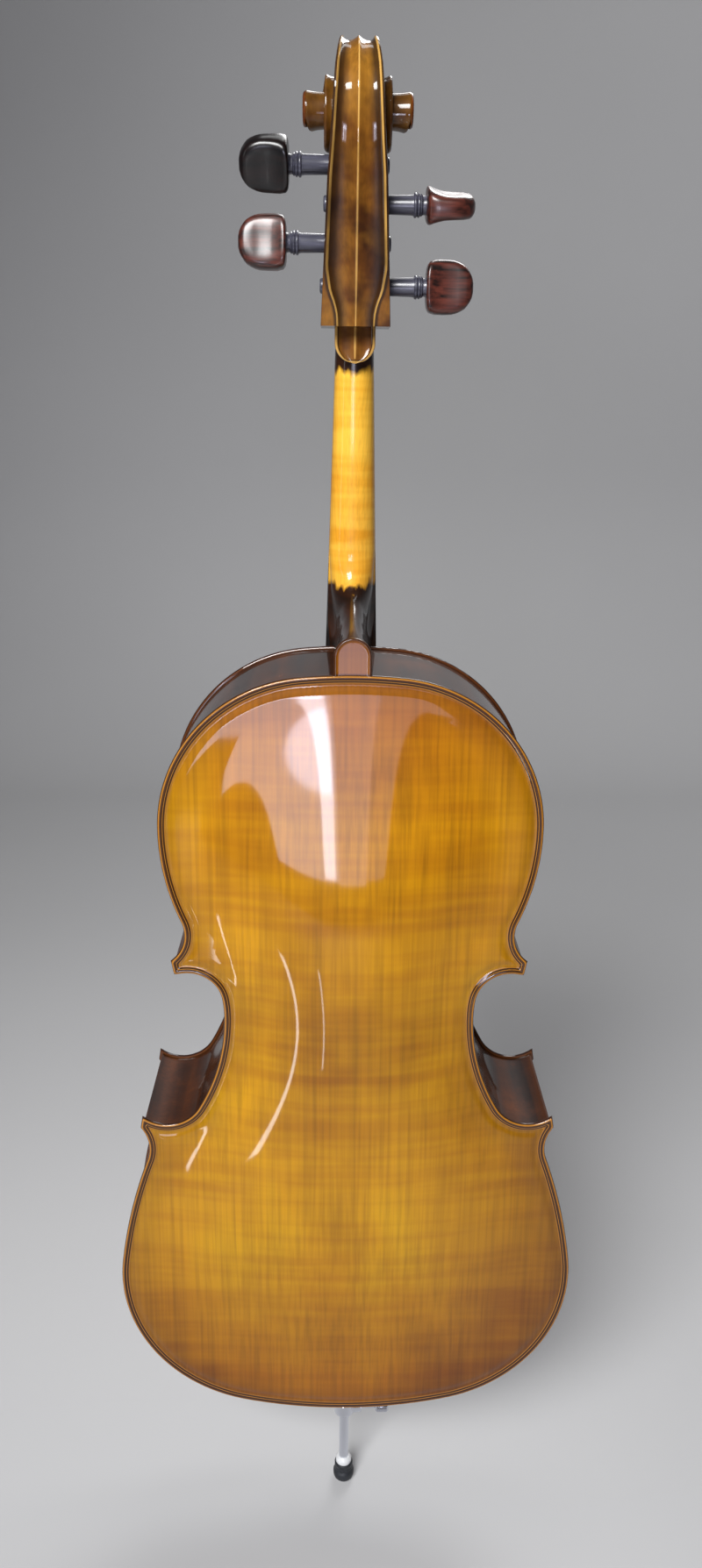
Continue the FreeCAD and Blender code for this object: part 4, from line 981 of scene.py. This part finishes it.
def thumb(height, depth, side, turn, outer):
    """The peg's thumb piece: a leaf with a broad flat foot, hollow cheeks and a rounded end."""
    rings = []
    count = 40
    for t in (0.0, 0.012, 0.035, 0.07, 0.12, 0.19, 0.27, 0.36, 0.46, 0.56, 0.66, 0.75, 0.83, 0.89, 0.94,
              0.975, 1.0):
        along = 7.6 + 38.4 * t
        leaf = between([(0.0, 12.5), (0.012, 15.6), (0.035, 18.0), (0.07, 19.6), (0.19, 21.0), (0.4, 21.2),
                        (0.56, 20.8), (0.7, 19.4), (0.83, 16.4), (0.92, 12.4), (0.975, 8.2), (1.0, 4.6)], t)
        thick = between([(0.0, 11.2), (0.012, 12.6), (0.035, 13.5), (0.07, 13.6), (0.19, 11.9), (0.36, 10.2),
                         (0.56, 9.6), (0.75, 9.5), (0.89, 8.6), (0.96, 6.8), (1.0, 3.2)], t)
        ring = []
        for j in range(count):
            a = 2 * math.pi * j / count
            u = math.copysign(abs(math.cos(a)) ** 0.62, math.cos(a)) * leaf
            w = math.copysign(abs(math.sin(a)) ** 0.5, math.sin(a)) * thick
            dish = 1.5 * math.sin(math.pi * min(t * 1.1, 1.0)) * max(0.0, 1 - (u / leaf / 0.8) ** 2)
            w -= math.copysign(dish, math.sin(a)) if abs(math.sin(a)) > 0.3 else 0.0
            ring.append((along, u, w))
        rings.append(ring)
    spin = Matrix.Rotation(math.radians(turn), 3, "X")
    placed = [[at(side * (outer + a), depth, height) + spin @ Vector((0, w, u)) / 1000 for a, u, w in ring]
              for ring in rings]
    return loft(placed)


def pegs():
    """Four pegs: a turned shaft with its collars, and a carved thumb piece on its end."""
    for name, _, _, height, depth, side, turn in STRINGS:
        outer = cheek_half(height) + PEG_COLLAR_OUT
        big = PEG_RADIUS + PEG_TAPER * PEG_COLLAR_OUT
        reach = outer + cheek_half(height) + 2.5
        small = big - PEG_TAPER * reach
        shaft = [(-reach, small - 1.4), (-reach + 0.4, small - 0.5), (-reach + 1.3, small),
                 (-4.4, big - 0.08), (-2.4, big + 0.3), (-2.0, 8.9), (-1.4, 9.4), (-0.6, 9.4), (0.0, 8.9),
                 (0.4, 8.0), (0.8, 8.8), (1.4, 9.2), (2.0, 9.2), (2.5, 8.7), (2.9, 7.8), (3.2, 8.2),
                 (3.8, 8.4), (4.3, 7.9), (5.0, 7.2), (6.2, 7.2), (8.2, 8.0)]
        turned = spun(shaft, at(side * outer, depth, height), (side, 0, 0), 48)
        piece("turned_peg_shaft_" + name, *turned, PEG_STAIN, "peg_" + name, ["peg_" + name],
              "peg_rosewood", 42)
        # Peg D's head takes the darker copy of the rosewood: painted shade.
        wood = ROSEWOOD_PAINTED_SHADE if name == "d" else ROSEWOOD
        piece("carved_peg_head_" + name, *thumb(height, depth, side, turn, outer), wood, "peg_" + name, (),
              "peg_rosewood", 50)


pegs()


# --- wound strings ------------------------------------------------------------------------------
def coil_tree():
    """A geometry tree for a close winding: a helix of wire with named sizes."""
    tree = bpy.data.node_groups.new("string_winding", "GeometryNodeTree")
    for label, kind in (("Turns", "NodeSocketFloat"), ("Radius", "NodeSocketFloat"),
                        ("Length", "NodeSocketFloat"), ("Wire Radius", "NodeSocketFloat"),
                        ("Finish", "NodeSocketMaterial")):
        tree.interface.new_socket(label, in_out="INPUT", socket_type=kind)
    tree.interface.new_socket("Geometry", in_out="OUTPUT", socket_type="NodeSocketGeometry")
    given = add(tree, "NodeGroupInput").node
    helix = add(tree, "GeometryNodeCurveSpiral", {"Resolution": 28, "Rotations": given.outputs["Turns"],
                                                  "Start Radius": given.outputs["Radius"],
                                                  "End Radius": given.outputs["Radius"],
                                                  "Height": given.outputs["Length"]})
    section = add(tree, "GeometryNodeCurvePrimitiveCircle", {"Resolution": 8,
                                                             "Radius": given.outputs["Wire Radius"]})
    wire = add(tree, "GeometryNodeCurveToMesh", {"Curve": helix, "Profile Curve": section,
                                                 "Fill Caps": True})
    real = add(tree, "GeometryNodeRealizeInstances", {"Geometry": wire})
    finish = add(tree, "GeometryNodeSetMaterial", {"Geometry": real, "Material": given.outputs["Finish"]})
    add(tree, "NodeGroupOutput", {"Geometry": finish})
    return tree


def knurl_tree():
    """A geometry tree for knurling: thin ridges set round a cylinder, with named sizes."""
    tree = bpy.data.node_groups.new("knurling", "GeometryNodeTree")
    for label, kind in (("Ridges", "NodeSocketInt"), ("Radius", "NodeSocketFloat"),
                        ("Height", "NodeSocketFloat"), ("Ridge Radius", "NodeSocketFloat"),
                        ("Finish", "NodeSocketMaterial")):
        tree.interface.new_socket(label, in_out="INPUT", socket_type=kind)
    tree.interface.new_socket("Geometry", in_out="OUTPUT", socket_type="NodeSocketGeometry")
    given = add(tree, "NodeGroupInput").node
    ring = add(tree, "GeometryNodeMeshCircle", {"Vertices": given.outputs["Ridges"],
                                                "Radius": given.outputs["Radius"]})
    ridge = add(tree, "GeometryNodeMeshCylinder", {"Vertices": 6, "Radius": given.outputs["Ridge Radius"],
                                                   "Depth": given.outputs["Height"]})
    many = add(tree, "GeometryNodeInstanceOnPoints", {"Points": ring, "Instance": ridge})
    real = add(tree, "GeometryNodeRealizeInstances", {"Geometry": many})
    finish = add(tree, "GeometryNodeSetMaterial", {"Geometry": real, "Material": given.outputs["Finish"]})
    add(tree, "NodeGroupOutput", {"Geometry": finish})
    return tree


COIL = coil_tree()
KNURL = knurl_tree()


def grown(tree, values, base, axis):
    """Runs a geometry tree with its inputs and returns the plain mesh as (verts, faces), in place."""
    host = bpy.data.objects.new("grower", bpy.data.meshes.new("grower"))
    bpy.context.collection.objects.link(host)
    mod = host.modifiers.new("grow", "NODES")
    mod.node_group = tree
    for item in tree.interface.items_tree:
        if item.in_out == "INPUT":
            mod[item.identifier] = values[item.name]
    mesh = bpy.data.meshes.new_from_object(host.evaluated_get(bpy.context.evaluated_depsgraph_get()))
    bpy.data.objects.remove(host)
    turn = Vector((0, 0, 1)).rotation_difference(Vector(axis)).to_matrix()
    return [base + turn @ v.co for v in mesh.vertices], [tuple(p.vertices) for p in mesh.polygons]


def windings():
    """The turns of string on each peg, wound close from a helix."""
    for name, place, radius, height, depth, _, _ in STRINGS:
        drum = PEG_RADIUS - PEG_TAPER * 26 + 0.1
        turns = min(7.0 / (2.1 * radius), 7.0)
        coil = grown(COIL, {"Turns": turns, "Radius": (drum + radius) / 1000,
                            "Length": 0.007 - radius * 0.002, "Wire Radius": radius / 1000,
                            "Finish": SILKS[name]},
                     at(place * 5.2 - 3.5 + radius, depth, height), (1, 0, 0))
        piece("winding_turns_" + name, *coil, SILKS[name], "peg_" + name, ["winding_" + name],
              "string_steel", 60)


windings()


# --- endpin -------------------------------------------------------------------------------------
CLAMP_HEIGHT = -58.0      # the clamp screw's axis, below the body
ROD_TOP = 340.0           # the rod's upper end, inside the body


def endpin():
    """Plug, clamp collar, rod, liner, rubber foot, and the knurled clamp screw at the side."""
    centre = at(0, 0, 0)
    plug = [(-42, 5.3), (-42, 11.6), (-41, 12.6), (-38, 13.6), (-30, 14.6), (-12, 15.8), (-8, 15.9),
            (-6.8, 15.2), (-6.4, 10.8), (-3.1, 10.8), (-2.9, 14.6), (-2.2, 15.4), (1.4, 15.4), (2.2, 14.8),
            (2.3, 12.0), (30, 10.8), (30, 5.3)]
    piece("turned_plug", *spun(plug + [plug[0]], centre, (0, 0, 1), 64), EBONY, stands_for=["endpin_plug"],
          slot="ebony")
    collar = [(-66, 5.3), (-66, 8.6), (-65.4, 9.4), (-64.2, 10.3), (-62, 10.6), (-51, 10.6), (-50.6, 10.2),
              (-50.2, 10.6), (-45, 10.6), (-44, 11.2), (-43.2, 11.9), (-42.3, 11.9), (-42, 11.5), (-42, 5.3)]
    boss = [(6, 6.9), (14.5, 6.9), (15, 6.6), (17.6, 6.6), (18.5, 5.8), (18.5, 3.2), (6, 3.2), (6, 6.9)]
    verts, faces = joined(spun(collar + [collar[0]], centre, (0, 0, 1), 64),
                          spun(boss, at(0, 0, CLAMP_HEIGHT), (-1, 0, 0), 40))
    piece("clamp_collar", verts, faces, CHROME, stands_for=["endpin_collar"], slot="bright_chrome")
    top = ROD_TOP + BODY_BOTTOM
    rod = [(12, 4.4), (12.6, 5.0), (top - 1, 5.0), (top, 4.2)]
    piece("drawn_rod", *spun(rod, Vector((0, 0, 0)), (0, 0, 1), 48), CHROME, "endpin", ["endpin_rod"],
          "bright_chrome")
    ferrule = [(22, 5.05), (22, 8.0), (22.6, 8.3), (26.6, 8.3), (27.2, 8.0), (29.4, 6.7), (30, 6.0),
               (30, 5.05)]
    piece("liner_sleeve", *spun(ferrule + [ferrule[0]], Vector((0, 0, 0)), (0, 0, 1), 48), NYLON, "endpin",
          ["endpin_ferrule"], "bright_chrome")
    tip = [(0, 0.2), (0, 6.2), (0.5, 7.4), (1.6, 8.8), (3.2, 10.0), (5.4, 10.8), (7.0, 11.0), (10.6, 11.0),
           (11.6, 10.6), (13.4, 9.4), (14.4, 9.2), (15.0, 9.5), (16.2, 9.5), (16.8, 9.2), (18.0, 9.2),
           (18.6, 9.6), (21.4, 9.6), (22.0, 9.1), (22.0, 5.05), (12.0, 5.05), (12.0, 0.2)]
    piece("rubber_foot", *spun(tip, Vector((0, 0, 0)), (0, 0, 1), 64), RUBBER, "endpin", ["endpin_tip"],
          "tip_rubber")
    stem = [(5.3, 2.4), (5.8, 3.0), (45.4, 3.0), (46, 2.5)]
    piece("clamp_stem", *spun(stem, at(0, 0, CLAMP_HEIGHT), (-1, 0, 0), 32), CHROME, "clamp_screw",
          ["endpin_screw"], "bright_chrome")
    knob = [(33, 3.05), (33, 5.0), (33.6, 5.6), (34.4, 6.2), (34.6, 6.4), (45.4, 6.4), (45.8, 6.2),
            (46.6, 5.6), (47, 5.0), (47, 3.05)]
    ridges = grown(KNURL, {"Ridges": 30, "Radius": 0.0064, "Height": 0.0106, "Ridge Radius": 0.00055,
                           "Finish": CHROME}, at(-40, 0, CLAMP_HEIGHT), (-1, 0, 0))
    verts, faces = joined(spun(knob + [knob[0]], at(0, 0, CLAMP_HEIGHT), (-1, 0, 0), 48), ridges)
    piece("clamp_knob_knurled", verts, faces, CHROME, "clamp_knob", ["endpin_screw_knob"],
          "bright_chrome", 50)


endpin()


# --- the front ----------------------------------------------------------------------------------
from_part("fingerboard", EBONY, round_mm=0.8)
from_part("nut", EBONY, round_mm=0.5)
from_part("saddle", EBONY, round_mm=0.6)
from_part("tailpiece", PLASTIC, round_mm=0.5, angle=50)
from_part("bridge", BRIDGE_MAPLE, round_mm=0.4, angle=50)
for label in "cgda":
    from_part("tuner_lever_" + label, CHROME, "tuner_lever_" + label, 0.3)


def tuner_knobs():
    """A knurled knob on each fine tuner, standing out square from the tailpiece."""
    tilt = math.radians(16.0)
    top_y = -173.0 + (358.0 - 246.0) * math.tan(tilt) + 8.0
    out = Vector((0, -math.cos(tilt), -math.sin(tilt)))
    for name, place, *_ in STRINGS:
        x = place * 14.5
        base_out = 8.0 - 70.0 + math.sqrt(70.0 ** 2 - x * x) + 1.2
        base = at(x, top_y + 38.0 * math.sin(tilt), 246.0 - 38.0 * math.cos(tilt)) + out * base_out / 1000
        shape = [(0, 1.6), (0, 3.6), (0.5, 4.1), (6.5, 4.1), (7.0, 3.6), (7.0, 1.6)]
        ridges = grown(KNURL, {"Ridges": 24, "Radius": 0.0041, "Height": 0.0056, "Ridge Radius": 0.0004,
                               "Finish": CHROME}, base + out * 0.0035, out)
        verts, faces = joined(spun(shape + [shape[0]], base, out, 36), ridges)
        piece("tuner_knob_knurled_" + name, verts, faces, CHROME, "tuner_knob_" + name,
              ["tuner_knob_" + name], "bright_chrome", 50)


tuner_knobs()

CARRIED = {"string_": STRING_STEEL, "tuner_screw": PIN_STEEL, "tuner_pins": PIN_STEEL, "tailgut": GUT,
           "linings": SPRUCE, "blocks": SPRUCE, "_block": SPRUCE, "bass_bar": SPRUCE, "sound_post": SPRUCE}
for node, thing in NODES.items():
    for part, material in CARRIED.items():
        if part in node:
            thing.data.materials.clear()
            thing.data.materials.append(material)


# --- studio -------------------------------------------------------------------------------------
def backdrop():
    """A pale floor that sweeps up into a wall far behind the instrument."""
    material, tree, inputs, where = start("paper_sweep", Roughness=0.85)
    mottle = pattern(tree, where, (900, 900, 900), 2.0)
    tree.links.new(add(tree, RAMP, {"Fac": mottle}, stops=[(0.3, "#b9b9ba"), (0.7, "#c0c0c1")]),
                   inputs["Base Color"])
    bend, round_up = -2300.0, 900.0      # where the floor starts to rise, and the radius it rises on
    line = [(6000.0, 0.0), (bend, 0.0)]
    line += [(bend - round_up * math.sin(a), round_up - round_up * math.cos(a))
             for a in (math.pi / 2 * i / 16 for i in range(1, 17))] + [(bend - round_up, 5000.0)]
    verts, faces = [], []
    for y, z in line:
        verts += [(-6.0, y / 1000, z / 1000), (6.0, y / 1000, z / 1000)]
    for i in range(len(line) - 1):
        faces.append((2 * i + 1, 2 * i, 2 * i + 2, 2 * i + 3))
    mesh = bpy.data.meshes.new("paper_sweep")
    mesh.from_pydata(verts, [], faces)
    mesh.polygons.foreach_set("use_smooth", [True] * len(mesh.polygons))
    mesh.materials.append(material)
    thing = bpy.data.objects.new("paper_sweep", mesh)
    bpy.context.collection.objects.link(thing)


def lamp(name, place, aim, size, power, colour="#ffffff", spread=180):
    data = bpy.data.lights.new(name, "AREA")
    data.shape = "RECTANGLE"
    data.size, data.size_y = size
    data.energy = power
    data.color = linear(colour)[:3]
    data.spread = math.radians(spread)
    thing = bpy.data.objects.new(name, data)
    thing.location = place
    thing.rotation_mode = "QUATERNION"
    thing.rotation_quaternion = (Vector(aim) - Vector(place)).to_track_quat("-Z", "Y")
    thing.visible_camera = False
    bpy.context.collection.objects.link(thing)


def studio():
    """Low softboxes behind the viewer, thin strips for the edges, a high key, and light on the wall."""
    backdrop()
    lamp("low_softbox", (0.36, 2.4, 0.42), (0, 0, 0.72), (0.64, 0.46), 6.0, "#e6e8ff")
    lamp("softbox_core", (0.12, 2.35, 0.42), (0, 0, 0.72), (0.1, 0.4), 2.0, "#eef0ff")
    lamp("softbox_top", (0.36, 2.37, 0.57), (0, 0, 0.72), (0.56, 0.11), 2.4, "#e6e8ff")
    lamp("softbox_fade", (-0.05, 2.38, 0.44), (0, 0, 0.72), (0.18, 0.5), 1.1, "#ece4ff")
    lamp("softbox_glow", (-0.23, 2.36, 0.46), (0, 0, 0.72), (0.18, 0.5), 0.6, "#ece4ff")
    lamp("low_strip_near", (0.215, 1.0, 0.135), (0.03, 0.08, 0.66), (0.016, 0.22), 0.1)
    lamp("low_strip_far", (0.45, 0.78, 0.135), (0.15, 0.06, 0.6), (0.024, 0.22), 0.2)
    lamp("tall_strip", (2.3, 1.1, 0.8), (0, 0, 0.65), (0.25, 1.5), 3)
    lamp("front_key", (0.9, 2.5, 2.5), (0, 0, 0.65), (1.5, 1.1), 30, spread=75)
    lamp("wall_wash", (-1.3, -1.2, 3.3), (-1.0, -3.0, 1.1), (3.6, 1.0), 33)
    lamp("string_side_fill", (-0.6, -1.9, 2.75), (0, -0.1, 0.95), (1.3, 0.9), 3.5, spread=50)
    world = bpy.data.worlds.new("studio_air")
    world.use_nodes = True
    world.node_tree.nodes["Background"].inputs["Color"].default_value = linear("#bdbdc2")
    world.node_tree.nodes["Background"].inputs["Strength"].default_value = 0.12
    bpy.context.scene.world = world
    bpy.context.scene.view_settings.view_transform = "Standard"


studio()


def camera():
    data = bpy.data.cameras.new("camera")
    data.lens = 27.73
    data.sensor_width = 36.0
    data.shift_x, data.shift_y = -0.0084, -0.0259
    thing = bpy.data.objects.new("camera", data)
    tip, roll, pan = (math.radians(a) for a in (16.28, -1.42, 0.78))
    turn = (Matrix.Rotation(pan, 3, "Z") @ Matrix.Rotation(tip, 3, "X") @ Matrix.Rotation(roll, 3, "Y"))
    right, down, forward = turn @ Matrix(((-1, 0, 0), (0, 0, -1), (0, -1, 0)))
    stand = Matrix((right, -down, -forward)).transposed().to_4x4()
    thing.matrix_world = Matrix.Translation(Vector((14.1, 1043.8, 1139.9)) / 1000) @ stand
    bpy.context.collection.objects.link(thing)
    bpy.context.scene.camera = thing


camera()
